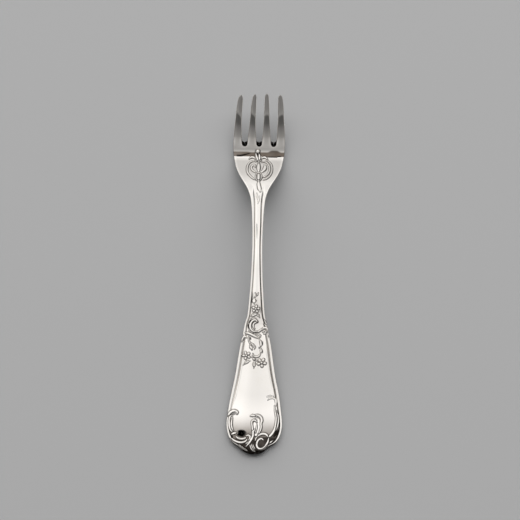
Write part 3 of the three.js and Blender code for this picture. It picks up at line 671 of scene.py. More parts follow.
HEAD_CURLS = (
    (0.9, ((-4.0, 123.4, 0.15), (-3.2, 124.1, 0.38), (-2.3, 124.1, 0.4), (-1.5, 123.5, 0.2))),
    (0.9, ((1.0, 123.5, 0.15), (1.8, 124.1, 0.38), (2.7, 124.1, 0.4), (3.5, 123.4, 0.2))),
)
BUD = (
    (0.75, ((-1.2, 122.9, 0.35), (-0.3, 123.0, 0.58), (0.8, 122.9, 0.35))),
    (0.9, ((-1.3, 126.2, 0.3), (-1.2, 125.2, 0.34), (-0.9, 124.2, 0.4), (-0.5, 123.3, 0.45))),
    (0.9, ((0.0, 125.6, 0.3), (0.25, 124.6, 0.42), (0.25, 123.5, 0.45))),
)
LYRE = (
    (0.75, ((-1.2, 122.2, 0.1), (-2.4, 122.5, 0.24), (-3.6, 122.0, 0.3), (-4.5, 120.9, 0.36),
            (-4.85, 119.4, 0.38), (-4.7, 118.0, 0.38), (-4.1, 116.9, 0.36), (-3.1, 115.8, 0.32),
            (-2.1, 115.0, 0.26), (-1.0, 114.5, 0.12))),
    (0.7, ((2.9, 122.8, 0.1), (4.1, 122.4, 0.24), (5.1, 121.3, 0.28), (5.5, 119.8, 0.3), (5.45, 118.3, 0.3),
           (5.0, 117.0, 0.28), (4.2, 115.9, 0.26), (3.1, 115.0, 0.22), (1.9, 114.5, 0.1))),
    (0.7, ((1.1, 122.0, 0.1), (2.3, 122.3, 0.22), (3.5, 121.7, 0.26), (4.3, 120.5, 0.28), (4.5, 119.1, 0.3),
           (4.2, 117.8, 0.3), (3.5, 116.8, 0.28), (2.6, 116.0, 0.26), (1.6, 115.6, 0.15))),
    (0.6, ((0.7, 117.5, 0.15), (1.6, 118.3, 0.45), (2.4, 119.3, 0.7), (2.6, 120.3, 0.6),
           (2.2, 121.2, 0.12))),
    (0.65, ((-0.7, 117.5, 0.12), (-1.8, 118.1, 0.32), (-2.7, 118.8, 0.38), (-3.1, 119.8, 0.4),
            (-2.6, 120.7, 0.38), (-1.7, 120.8, 0.34), (-1.5, 120.0, 0.15))),
    (0.75, ((0.0, 117.4, 0.3), (-0.1, 119.8, 0.78), (0.0, 122.3, 0.35))),
)
PENDANT = (
    (0.8, ((0.0, 116.7, 0.6), (0.0, 115.1, 0.6))),
    (0.6, ((0.05, 114.3, 0.34), (0.1, 112.6, 0.66), (0.45, 110.9, 0.74), (0.8, 109.7, 0.3))),
)
NECK_LEAVES = (
    (0.45, ((-0.6, 109.0, 0.12), (-0.5, 107.6, 0.28), (-0.3, 106.4, 0.1))),
    (0.45, ((0.4, 107.8, 0.1), (0.2, 106.2, 0.3), (-0.1, 104.6, 0.1))),
)
HEAD_POOLS = (
    ((-0.4, 125.2), (0.3, 0.6), 0.0, 0.9),
    ((-0.6, 126.6), (1.0, 0.9), 0.0, 1.0),
    ((-4.3, 116.5), (0.6, 0.25), -35.0, 0.9),
    ((0.4, 111.0), (0.2, 0.9), 35.0, 0.8),
)


def chase_head(relief):
    """The cartouche on the head: a bud, a lyre round a palmette, a ringed boss and a pendant."""
    relief.moat_width = 0.32
    relief.swell = 1.1
    relief.draw(HEAD_CURLS)
    relief.oxide = 0.92
    relief.moat_width = 0.26
    relief.draw(BUD)
    relief.knob((-0.5, 126.4), radius=0.85, share=1.0)
    relief.draw(LYRE)
    boss_ring = oval_path(centre=(0.0, 115.9), radii=(1.2, 1.75))
    relief.stroke(boss_ring, widths=0.22, share=0.65)
    relief.draw(PENDANT)
    relief.oxide = 0.5
    relief.draw(NECK_LEAVES)
    relief.stain(HEAD_POOLS)


def shell_floor(x, station):
    """Oxide on the floor of the shell: all that lies below the shore, less what is worn inside the ring."""
    shore = SHORE + SHORE_RISE * smooth(x, *SHORE_SLOPE)
    worn = bump(x, *RING_ACROSS) * bump(station, *RING_ALONG)
    return (FLOOR_OXIDE - RING_WEAR * worn) * smooth(shore - station, *SHORE_FADE)


def crease_start(x):
    """The crisp lower border of the painted dark reflection in the crease at the heel: a level line, lowered
    right of the bud.
    """
    start, end = CREASE_DROP_SPAN
    return CREASE - CREASE_DROP * smooth(x, *start) * fade(x, *end)


def tarnish_and_painted_reflection(x, station):
    """How far the ground has clouded at the handle's end, about the spray and on the head, and the painted
    dark reflection in its crease.
    """
    end, spray, head = (
        strength * smooth(station, *rise) * fade(station, *fall)
        for strength, rise, fall in (END_VEIL, SPRAY_VEIL, HEAD_VEIL)
    )
    head = head * smooth(half_width(station) - np.abs(x), *BARE_RIM)
    left = BROW_LEFT * smooth(-x, *BROW_LEFT_RISE)
    brow = BROW + BROW_RIGHT * bump(x, *BROW_RIGHT_PLACE, power=4) + left
    # The crease band is painted dark reflection
    crease = smooth(station - crease_start(x), *CREASE_RISE) * fade(station - brow, *BROW_FADE)
    return end + spray + head + crease


def crease_painted_reflection(x, station):
    """The dark line along the crease, painted as a dark reflection: a slanting wedge on the left and a thin
    edge on the right, and an oval of painted dark reflection on the right."""
    wedge = WEDGE_START[1] + WEDGE_SLANT * np.clip(x - WEDGE_START[0], 0, None)
    middle = np.where(x < 0, wedge, crease_start(x) + LINE_OFFSET)
    thinnest, widening = WEDGE_THICKNESS
    thick = np.where(x < 0, thinnest + widening * smooth(-x, *WEDGE_RISE), LINE_THICKNESS)
    start, end = LINE_SPAN
    line = fade(np.abs(station - middle) / thick, *LINE_FADE) * (station > crease_start(x))
    line = line * smooth(np.abs(x), *start) * fade(np.abs(x), *end)
    oval = bump(x, *OVAL_ACROSS, power=4) * bump(station, *OVAL_ALONG, power=4)
    return np.maximum(line, OVAL_PAINTED_REFLECTION * oval)


def columns(breaks, counts):
    """Insets from the edge on every line. Each stretch between two breaks is divided evenly, apart from the
    first, which is divided as a round."""
    quarter = np.linspace(0, math.pi / 2, counts[0] + 1)
    shares = [1 - np.cos(quarter)] + [np.linspace(0, 1, count + 1)[1:] for count in counts[1:]]
    starts = [low[:, None] for low in breaks]
    stretches = zip(starts, starts[1:], shares)
    return np.concatenate([low + (high - low) * share for low, high, share in stretches], axis=1)


class Blank:
    """One stretch of the struck blank: a ring of points on every line, over the front and under the back."""

    def __init__(self, rows, sizes, panel_columns, chase=None):
        self.rows = rows
        self.sizes = sizes
        self.panel_columns = panel_columns
        fronts = {side: self.front_half(side) for side in SIDES}
        joined = {
            key: np.concatenate([left, fronts[RIGHT][key][:, -2::-1]], axis=1)
            for key, left in fronts[LEFT].items()
        }
        x = joined["x"]
        station = joined["station"]
        rise = sizes.relief_height / MM
        relief = Relief(x, station, joined["add"], joined["groove"], joined["cover"], rise)
        if chase is not None:
            chase(relief)
        raised = joined["front"] + relief.height
        height = joined["edge"] + (raised - joined["edge"]) * joined["rim"]
        backs = {side: self.back_half(side) for side in SIDES}
        under = np.concatenate([backs[RIGHT][:, 1:], backs[LEFT][:, -2:0:-1]], axis=1)
        self.rings = np.concatenate([np.stack([x, station, height], axis=2), under], axis=1)
        ground = 1 - relief.cover
        # The first mark holds oxide with painted shade and painted dark reflections; the second holds
        # clouding with the painted dark reflection in the crease
        marks = {
            "recess": np.maximum(relief.groove, crease_painted_reflection(x, station) * ground),
            "veil": tarnish_and_painted_reflection(x, station) * ground,
        }
        plain = np.zeros(under.shape[:2])
        self.marks = {name: np.concatenate([mark, plain], axis=1) for name, mark in marks.items()}

    def edge_height(self, side):
        """Height of the edge's outermost line, between the back and the front."""
        station = self.rows.edge_stations(side)
        low = back_line(station) + self.sizes.back_crown / MM
        high = front_line(station) - self.sizes.front_crown / MM * crown_share(station) - self.roll(station)
        return low + EDGE_SHARE * (high - low)

    def groove_oxide(self, side):
        """Oxide in the groove inside the thread, partly rubbed away round one place on each side."""
        share, place, spread = GROOVE_WEAR[side]
        station = self.rows.edge_stations(side)[:, None]
        rubbed = share * bump(station, place, spread)
        return GROOVE_OXIDE[side] * (1 - rubbed) * thread_share(station)

    def rim_painted_reflection(self, side, inset):
        """Painted dark reflection along the outside of the rim at the handle's end, over the whole rim at the
        very end.
        """
        station = self.rows.edge_stations(side)[:, None]
        outside, whole = (fade(station, *along) * fade(inset, *inwards) for along, inwards in RIM_PAINTED_REFLECTIONS)
        return np.maximum(outside, whole)

    def roll(self, station):
        """How far the rim of the handle's end is rolled down: most at the end, fading out along the edge."""
        return self.sizes.end_roll / MM * fade(station, *ROLL_FADE)

    def front_half(self, side):
        """The front from one edge to the middle: a round thread, a groove, a fillet and the crowned panel.

        The panel's height is the middle line's, less the crown times the square of the share of the way out.
        The thread, the groove and the fillet are added by the distance in from the edge."""
        sizes = self.sizes
        station = self.rows.edge_stations(side)
        thread = thread_width(station)
        raised = (thread_share(station) * sizes.thread_height / MM)[:, None]
        sunk = (thread_share(station) * sizes.groove_depth / MM)[:, None]
        fillet = fillet_share(station)
        widening = 1 + (GROOVE_WIDENING[side] - 1) * smooth(station, *WIDENING_RISE)
        groove_end = thread + sizes.groove_width / MM * widening
        fillet_end = groove_end + LEAST_FILLET + fillet * (sizes.fillet_width / MM - LEAST_FILLET)
        turn = np.full_like(thread, sizes.edge_turn / MM)
        breaks = [np.zeros_like(thread), turn, thread, groove_end, fillet_end, self.rows.reaches[side]]
        counts = (EDGE_COLUMNS, FLANK_COLUMNS, GROOVE_COLUMNS, FILLET_COLUMNS, self.panel_columns)
        inset = columns(breaks, counts)
        x, along, share = self.rows.half(side, inset)
        crest, foot, groove_end, fillet_end = (b[:, None] for b in breaks[1:5])
        fall = np.clip((inset - crest) / (foot - crest), 0, 1)
        trough = np.clip((inset - foot) / (groove_end - foot), 0, 1)
        bead = np.clip((inset - groove_end) / (fillet_end - groove_end), 0, 1)
        hollow = 4 * trough * (1 - trough)
        add = raised * (1 - fall**THREAD_FULLNESS) - sunk * hollow
        add = add + (fillet * sizes.fillet_height / MM)[:, None] * np.sin(bead * math.pi)
        panel_share = 1 - foot / self.rows.reaches[side][:, None]
        share = share - THREAD_LEVEL * np.maximum(share - panel_share, 0.0)
        front = front_line(along) - sizes.front_crown / MM * crown_share(along) * share**2
        front = front - self.roll(station)[:, None] * np.clip(1 - inset / ROLL_REACH, 0, 1) ** 2
        round_off = np.clip(1 - inset / crest, 0, 1)
        edge = np.broadcast_to(self.edge_height(side)[:, None], inset.shape)
        oxide = self.groove_oxide(side) * hollow**STAIN_SPREAD
        return {
            "x": x, "station": along, "add": add, "front": front, "edge": edge,
            "rim": np.sqrt(1 - round_off**2),
            "groove": np.maximum(oxide, self.rim_painted_reflection(side, inset)),
            "cover": fade(inset, THREAD_COVER * foot, foot) * thread_share(station)[:, None],
        }

    def back_half(self, side):
        """The back from one edge to the middle: a quarter round at the edge, then a shallow dome, which rises
        with the fourth power of the share of the way out."""
        reach = self.rows.reaches[side]
        turn = np.minimum(self.sizes.back_edge / MM, reach / 2)
        inset = columns([np.zeros_like(reach), turn, reach], (EDGE_COLUMNS, BACK_COLUMNS))
        x, along, share = self.rows.half(side, inset)
        dome = back_line(along) + self.sizes.back_crown / MM * share**4
        edge = self.edge_height(side)[:, None]
        round_off = np.clip(1 - inset / turn[:, None], 0, 1)
        height = edge + (dome - edge) * np.sqrt(1 - round_off**2)
        return np.stack([x, along, height], axis=2)


def tine_rings(index):
    """One tine: a rectangle with rounded corners carried along it, flared round the slots and with a point.

    The slots' bottoms are half circles in plan, and slant so that they reach further along at the back."""
    outer = index in (0, len(TINES) - 1)
    length = FORK_LENGTH - SLOT_START - TIP_SETBACKS[index]
    nose_start = length - TIP_NOSE
    root = ROOT_LAG + (SLOT_RADIUS + SLOT_SLANT) * (1 - np.cos(np.linspace(0, math.pi / 2, ROOT_ROWS)))
    shaft = np.linspace(root[-1], nose_start, SHAFT_ROWS)[1:]
    nose = nose_start + TIP_NOSE * np.sin(np.linspace(0, math.pi / 2, NOSE_ROWS))[1:]
    along = np.concatenate([[0.0], root, shaft, nose])[:, None]
    station = SLOT_START + along
    point = np.sqrt(1 - np.clip((along - nose_start) / TIP_NOSE, 0, 1) ** 2)
    half = through(OUTER_TINE_HALVES if outer else INNER_TINE_HALVES)(along) * point
    root_centre = (index - (len(TINES) - 1) / 2) * TINE_PITCH
    centre = root_centre + (TIP_CENTRES[index] - root_centre) * np.clip(along / length, 0, 1) ** TINE_SWAY
    thick = metal(station) * np.minimum(NOSE_METAL + (1 - NOSE_METAL) * point, NOSE_BLUNTNESS * point)
    slot_edge = SLOT_EDGE + (TINE_EDGE - SLOT_EDGE) * smooth(along, *SLOT_EDGE_RISE)
    lap = (TINE_PITCH / 2 - SLOT_RADIUS - half[0]) * fade(along, *LAP_FADE)
    across, upward, corner_x, corner_z = corner_ring()
    open_side = np.where(across < 0, index > 0, index < len(TINES) - 1)
    most = TINE_EDGE_LIMIT * np.minimum(2 * half, thick)
    edge = np.minimum(np.where(open_side, slot_edge, TINE_EDGE), most)
    height = upward * (thick / 2 - edge) + edge * corner_z
    depth = 0.5 - height / np.maximum(thick, LEAST_METAL)
    past = along - ROOT_LAG - SLOT_SLANT * depth
    clear = np.clip(past, 0, SLOT_RADIUS)
    flare = SLOT_RADIUS - np.sqrt(SLOT_RADIUS**2 - (SLOT_RADIUS - clear) ** 2)
    x = centre + across * (half + (flare + lap) * open_side - edge) + edge * corner_x
    out = (across * (half - edge) + edge * corner_x) / np.maximum(half, WELD)
    crown = TINE_CROWN * smooth(along, *TINE_CROWN_RISE) * out**2 * (upward > 0)
    z = front_line(station) - thick / 2 + height - crown
    # Painted shade: the side walls near the bottom of each slot are painted dark, where the slot lies in
    # shadow close to the table
    recess = smooth(np.abs(corner_x), *WALL_PAINTED_SHADE) * open_side * fade(past, *SLOT_PAINTED_SHADE_FADE)
    return np.stack([x, np.broadcast_to(station, x.shape), np.maximum(z, 0.0)], axis=2), recess


def corner_ring():
    """The ring of a rounded rectangle, clockwise from its left side. Per point: its corner, as two signs that
    shrink towards the middles of the sides, and its place on the corner's arc, as a cosine and a sine."""
    turn = np.linspace(0, math.pi / 2, CORNER_COLUMNS)
    level = np.ones(CORNER_COLUMNS)
    flat = np.ones_like(SIDE_PLACES)
    still = np.zeros_like(SIDE_PLACES)
    parts = []
    for side_x, side_z in ((-1, 1), (1, 1), (1, -1), (-1, -1)):
        rising = side_x * side_z < 0
        angle = turn if rising else math.pi / 2 - turn
        parts.append((side_x * level, side_z * level, side_x * np.cos(angle), side_z * np.sin(angle)))
        if rising:
            parts.append((side_x * SIDE_PLACES, side_z * flat, still, side_z * flat))
        else:
            parts.append((side_x * flat, side_z * SIDE_PLACES, side_x * flat, still))
    return tuple(np.concatenate(part)[None, :] for part in zip(*parts))


def lay_surface(name, rings, marks, capped):
    """A closed mesh through rings of points: quads between neighbouring rings, and a cap on capped ends."""
    rows, ring = rings.shape[:2]
    points = rings.reshape(-1, 3) * MM
    points[:, 1] += HANDLE_END
    first = np.arange(rows - 1)[:, None] * ring + np.arange(ring)[None, :]
    second = np.roll(first, -1, axis=1)
    faces = np.stack([first, second, second + ring, first + ring], axis=2).reshape(-1, 4).tolist()
    ends = {"start": np.arange(ring)[::-1].tolist(), "end": ((rows - 1) * ring + np.arange(ring)).tolist()}
    faces += [ends[end] for end in capped]
    mesh = bpy.data.meshes.new(name)
    mesh.from_pydata(points, [], faces)
    for mark, values in marks.items():
        layer = mesh.attributes.new(mark, "FLOAT", "POINT")
        layer.data.foreach_set("value", values.astype(np.float32).ravel())
    welded = bmesh.new()
    welded.from_mesh(mesh)
    bmesh.ops.remove_doubles(welded, verts=welded.verts, dist=WELD)
    welded.to_mesh(mesh)
    welded.free()
    mesh.shade_smooth()
    sharpen(mesh, [points[0, 1] if end == "start" else points[-1, 1] for end in capped])
    piece = bpy.data.objects.new(name, mesh)
    bpy.context.scene.collection.objects.link(piece)
    return piece


def sharpen(mesh, planes):
    """Marks the edges that lie in the planes of the caps as sharp, so the caps don't bend the shading."""
    co = np.empty(len(mesh.vertices) * 3, np.float32)
    mesh.vertices.foreach_get("co", co)
    ends = np.empty(len(mesh.edges) * 2, np.int32)
    mesh.edges.foreach_get("vertices", ends)
    along = co.reshape(-1, 3)[:, 1][ends.reshape(-1, 2)]
    sharp = np.zeros(len(mesh.edges), bool)
    for plane in planes:
        sharp |= np.all(np.abs(along - plane) < WELD, axis=1)
    mesh.attributes.new("sharp_edge", "BOOLEAN", "EDGE").data.foreach_set("value", sharp)


def arithmetic(operation, turned=False):
    """An operator of a wire, as a Math node: the wire comes first, or second when the operator is turned."""

    def result(wire, other):
        return wire.math(operation, other, turned)

    return result


class Wire:
    """An output socket that takes part in arithmetic: each operation adds a Math node."""

    def __init__(self, shader, socket):
        self.shader = shader
        self.socket = socket

    def math(self, operation, other=0.0, turned=False):
        """A Math node on this wire and another wire or number."""
        pair = (other, self) if turned else (self, other)
        return self.shader.node("ShaderNodeMath", {"operation": operation}, {0: pair[0], 1: pair[1]})

    __add__ = arithmetic("ADD")
    __radd__ = arithmetic("ADD", turned=True)
    __sub__ = arithmetic("SUBTRACT")
    __rsub__ = arithmetic("SUBTRACT", turned=True)
    __mul__ = arithmetic("MULTIPLY")
    __rmul__ = arithmetic("MULTIPLY", turned=True)
    __truediv__ = arithmetic("DIVIDE")
    __rtruediv__ = arithmetic("DIVIDE", turned=True)

    def sibling(self, output):
        """Another output of the same node."""
        return Wire(self.shader, self.socket.node.outputs[output])

    def clamped(self):
        """This wire, held between 0 and 1."""
        return self.math("MINIMUM", 1.0).math("MAXIMUM", 0.0)


class Shader:
    """A node tree that is filled by calls: one method makes every kind of node."""

    def __init__(self, tree):
        self.tree = tree
        tree.nodes.clear()

    @classmethod
    def material(cls, name):
        """A new material, and the shader that fills it."""
        material = bpy.data.materials.new(name)
        material.use_nodes = True
        return material, cls(material.node_tree)

    def node(self, kind, settings=None, inputs=None, output=0):
        """Adds a node, sets its settings, then its sockets by name or number. Returns one of its outputs."""
        made = self.tree.nodes.new(kind)
        for key, value in (settings or {}).items():
            if key == "stops":
                self.set_stops(made.color_ramp, value)
            else:
                setattr(made, key, value)
        for key, value in (inputs or {}).items():
            socket = made.inputs[key]
            if isinstance(value, Wire):
                self.tree.links.new(value.socket, socket)
            else:
                socket.default_value = value
        return Wire(self, made.outputs[output]) if made.outputs else made

    @staticmethod
    def set_stops(ramp, stops):
        """Gives a colour ramp its (place, colour) stops."""
        while len(ramp.elements) < len(stops):
            ramp.elements.new(1.0)
        for element, (place, colour) in zip(ramp.elements, stops):
            element.position = place
            element.color = colour

    def mix(self, factor, a, b):
        """A colour mix."""
        sockets = {0: factor, 6: a, 7: b}
        return self.node("ShaderNodeMix", {"data_type": "RGBA"}, sockets, output=2)

    def noise(self, vector, scale, detail, roughness):
        """Soft noise between 0 and 1."""
        sockets = {"Vector": vector, "Scale": scale, "Detail": detail, "Roughness": roughness}
        return self.node("ShaderNodeTexNoise", None, sockets)

    def mapped(self, vector, scale, turn=(0.0, 0.0, 0.0)):
        """Coordinates turned and then stretched."""
        return self.node("ShaderNodeMapping", None, {"Vector": vector, "Scale": scale, "Rotation": turn})


# Marks on the silver and the table: scales of their noise, and how far they change the colour. The roughness
# changes with the haze, the hairlines, the oxide with its painted shade, and the dull places, in that order
CLOUD_SCALE = 90.0
PATCH_SCALE = 900.0
PATCH_BASE = 0.8
PATCH_CHANGE = 0.4
HAZE_CONTRAST = 1.6
LENGTHWAYS = (9000.0, 260.0, 9000.0)
LENGTHWAYS_SHARE = 0.6
CROSSWAYS = (300.0, 8000.0, 8000.0)
CROSS_TURN = (0.0, 0.0, 0.5)
HAIRLINE_DEPTH = 0.02 * MM
ROUGHENING = (0.03, 0.04, 0.3, 0.02)
TOOTH_SCALE = 1400.0
TOOTH_SHADE = 0.97
PAPER_ROUGHNESS = 0.9
PAPER_GLOSS = 0.1


def silver_plate(finish):
    """Polished silver plate: hairline polishing marks, soft clouding, dark oxide left in the grooves, and
    painted shade and painted dark reflections in the oxide and clouding colours.
    """
    material, shader = Shader.material("chased_silver")
    place = shader.node("ShaderNodeTexCoord", output="Object")
    recess = shader.node("ShaderNodeAttribute", {"attribute_name": "recess"}, output="Fac")
    veil = shader.node("ShaderNodeAttribute", {"attribute_name": "veil"}, output="Fac")
    cloud = shader.noise(place, CLOUD_SCALE, detail=5.0, roughness=0.6)
    patchy = shader.noise(place, PATCH_SCALE, detail=3.0, roughness=0.6)
    along = shader.noise(shader.mapped(place, LENGTHWAYS), 1.0, detail=3.0, roughness=0.7)
    across = shader.noise(shader.mapped(place, CROSSWAYS, CROSS_TURN), 1.0, detail=2.0, roughness=0.6)
    hairlines = along * LENGTHWAYS_SHARE + across * (1 - LENGTHWAYS_SHARE)
    # The oxide colour also lays painted shade and painted dark reflections, and the tarnish colour lays the
    # painted dark reflection in the crease
    oxide = (recess * (PATCH_BASE + patchy * PATCH_CHANGE)).clamped()
    dull_and_painted_reflection = (veil * (PATCH_BASE + cloud * PATCH_CHANGE)).clamped()
    haze = ((cloud - 0.5) * HAZE_CONTRAST).clamped()
    bright = shader.mix(haze, (*finish.silver, 1.0), (*finish.warm_silver, 1.0))
    clouded = shader.mix(dull_and_painted_reflection, bright, (*finish.tarnish_and_painted_reflection, 1.0))
    colour = shader.mix(oxide, clouded, (*finish.oxide, 1.0))
    roughness = finish.roughness
    for mark, change in zip((haze, hairlines - 0.5, oxide, dull_and_painted_reflection), ROUGHENING):
        roughness = roughness + mark * change
    relief = shader.node(
        "ShaderNodeBump", None,
        {"Strength": finish.hairline_strength, "Distance": HAIRLINE_DEPTH, "Height": hairlines},
    )
    metal_surface = shader.node(
        "ShaderNodeBsdfPrincipled", None,
        {"Base Color": colour, "Metallic": 1.0, "Roughness": roughness.clamped(), "Normal": relief},
    )
    shader.node("ShaderNodeOutputMaterial", None, {"Surface": metal_surface})
    return material


def table_paper(stage):
    """Matt grey paper with a faint tooth."""
    material, shader = Shader.material("table_paper")
    place = shader.node("ShaderNodeTexCoord", output="Object")
    tooth = shader.noise(place, TOOTH_SCALE, detail=3.0, roughness=0.6)
    deep = tuple(TOOTH_SHADE * level for level in stage.table)
    colour = shader.mix(tooth, (*deep, 1.0), (*stage.table, 1.0))
    surface = shader.node(
        "ShaderNodeBsdfPrincipled", None,
        {"Base Color": colour, "Roughness": PAPER_ROUGHNESS, "Specular IOR Level": PAPER_GLOSS},
    )
    shader.node("ShaderNodeOutputMaterial", None, {"Surface": surface})
    return material


def seat(piece, node, context):
    """Finishes a piece: the silver that all the pieces share, its body, and the node that it stands for."""
    silver = bpy.data.materials.get("chased_silver") or silver_plate(context.scene.fork_finish)
    piece.data.materials.append(silver)
    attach(piece, "root")
    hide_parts(node)


def lay_stretch(context, name, node, rows, panel, chase=None, ends=("start", "end")):
    """Lays one stretch of the blank, with its ornament if it has any, and seats it."""
    blank = Blank(rows, context.scene.fork_sizes, PANEL_COLUMNS[panel], chase)
    seat(lay_surface(name, blank.rings, blank.marks, ends), node, context)


class ForkSizes(bpy.types.PropertyGroup):
    """Sizes of the struck surface"""

    thread_height: FloatProperty(
        name="Thread height", description="Height of the raised thread along the edges",
        default=0.3 * MM, unit="LENGTH", precision=5,
    )
    groove_width: FloatProperty(
        name="Groove width", description="Width of the groove inside the thread",
        default=0.38 * MM, unit="LENGTH", precision=5,
    )
    groove_depth: FloatProperty(
        name="Groove depth", description="Depth of the groove inside the thread",
        default=0.2 * MM, unit="LENGTH", precision=5,
    )
    fillet_width: FloatProperty(
        name="Fillet width", description="Width of the thin fillet inside the groove",
        default=0.8 * MM, unit="LENGTH", precision=5,
    )
    fillet_height: FloatProperty(
        name="Fillet height", description="Height of the thin fillet inside the groove",
        default=0.13 * MM, unit="LENGTH", precision=5,
    )
    front_crown: FloatProperty(
        name="Front crown", description="How far the front's middle stands above its edges",
        default=0.6 * MM, unit="LENGTH", precision=5,
    )
    back_crown: FloatProperty(
        name="Back crown", description="How far the back's edges stand above its middle",
        default=0.45 * MM, unit="LENGTH", precision=5,
    )
    back_edge: FloatProperty(
        name="Back edge", description="Width of the rounding along the back's edges",
        default=0.9 * MM, unit="LENGTH", precision=5,
    )
    edge_turn: FloatProperty(
        name="Edge turn", description="Width of the rounding along the front's edges",
        default=0.26 * MM, unit="LENGTH", precision=5,
    )
    end_roll: FloatProperty(
        name="End roll", description="How far the rim of the handle's end is rolled down",
        default=0.9 * MM, unit="LENGTH", precision=5,
    )
    relief_height: FloatProperty(
        name="Relief height", description="Height of the main scrolls above the ground",
        default=0.65 * MM, unit="LENGTH", precision=5,
    )


class ForkFinish(bpy.types.PropertyGroup):
    """Finish of the silver"""

    silver: FloatVectorProperty(
        name="Silver", description="Colour of the polished plate",
        default=(0.96, 0.922, 0.876), subtype="COLOR",
    )
    warm_silver: FloatVectorProperty(
        name="Clouded silver", description="Colour where the plate has clouded",
        default=(0.92, 0.865, 0.79), subtype="COLOR",
    )
    # Also the colour of the painted dark reflection in the crease at the heel
    tarnish_and_painted_reflection: FloatVectorProperty(
        name="Tarnish", description="Colour of the tarnished ground",
        default=(0.17, 0.138, 0.113), subtype="COLOR",
    )
    # Also the colour of the painted shade in the tine slots and beside the strokes, and of the painted dark
    # reflections in the crease and on the rim of the handle's end
    oxide: FloatVectorProperty(
        name="Oxide", description="Colour of the oxide in the grooves",
        default=(0.014, 0.011, 0.009), subtype="COLOR",
    )
    roughness: FloatProperty(
        name="Roughness", description="Roughness of the polish", default=0.03, min=0.0, max=1.0,
        subtype="FACTOR",
    )
    hairline_strength: FloatProperty(
        name="Hairlines", description="Strength of the polishing marks", default=0.05, min=0.0, max=1.0,
        subtype="FACTOR",
    )


class ForkStage(bpy.types.PropertyGroup):
    """The table, the light and the camera"""

    table: FloatVectorProperty(
        name="Table", description="Colour of the table",
        default=(0.13, 0.13, 0.13), subtype="COLOR",
    )
    light: FloatProperty(name="Light", description="Strength of the soft light", default=1.03, min=0.0)
    lamp: FloatProperty(name="Lamp", description="Power of the lamp", default=1750.0, min=0.0, unit="POWER")
    camera_height: FloatProperty(
        name="Camera height", description="Height of the camera over the table", default=0.8, unit="LENGTH"
    )
    field: FloatProperty(
        name="Field", description="Width of the table that the camera sees", default=217.56 * MM,
        unit="LENGTH",
    )
    lean: FloatProperty(
        name="Lean", description="How far the fork leans in the picture", default=math.radians(1.0),
        subtype="ANGLE",
    )


class FORK_OT_handle_blade(bpy.types.Operator):
    """Build the broad end of the handle, with its shell and its spray of flowers"""

    bl_idname = "fork.handle_blade"
    bl_label = "Handle blade"

    def execute(self, context):
        fan = Rows.fan(np.linspace(0, math.pi / 2, FAN_ROWS, endpoint=False))
        chased = np.arange(WIDEST, CHASED_END, CHASED_STEP)
        plain = np.linspace(CHASED_END, BLADE_SPLIT, PLAIN_ROWS)
        shell = fan.joined(Rows.straight(np.concatenate([chased, plain])))
        lay_stretch(context, "chased_handle_end", "handle_blade", shell, "end", chase_handle_end, ("end",))
        lead = np.linspace(BLADE_SPLIT, SPRAY_START, PLAIN_ROWS, endpoint=False)
        spray = Rows.straight(np.concatenate([lead, np.linspace(SPRAY_START, BLADE_END, SPRAY_ROWS)]))
        lay_stretch(context, "chased_handle_spray", "handle_blade", spray, "spray", chase_handle_top)
        return {"FINISHED"}


class FORK_OT_stem(bpy.types.Operator):
    """Build the plain threaded stem"""

    bl_idname = "fork.stem"
    bl_label = "Stem"

    def execute(self, context):
        rows = Rows.straight(np.linspace(BLADE_END, NECK_START, STEM_ROWS))
        lay_stretch(context, "threaded_stem", "stem", rows, "stem")
        return {"FINISHED"}


class FORK_OT_neck(bpy.types.Operator):
    """Build the neck at the top of the arch"""

    bl_idname = "fork.neck"
    bl_label = "Neck"

    def execute(self, context):
        rows = Rows.straight(np.linspace(NECK_START, HEAD_START, NECK_ROWS))
        lay_stretch(context, "threaded_neck", "neck", rows, "stem")
        return {"FINISHED"}


class FORK_OT_head(bpy.types.Operator):
    """Build the head with its cartouche, from the neck to the slots"""

    bl_idname = "fork.head"
    bl_label = "Head"

    def execute(self, context):
        rows = Rows.straight(np.linspace(HEAD_START, SLOT_START, HEAD_ROWS))
        lay_stretch(context, "chased_head", "head", rows, "head", chase_head)
        return {"FINISHED"}


class FORK_OT_tines(bpy.types.Operator):
    """Build the four tines"""

    bl_idname = "fork.tines"
    bl_label = "Tines"

    def execute(self, context):
        for index, node in enumerate(TINES):
            rings, recess = tine_rings(index)
            piece = lay_surface("polished_" + node, rings, {"recess": recess, "veil": 0 * recess}, ("start",))
            seat(piece, node, context)
        return {"FINISHED"}


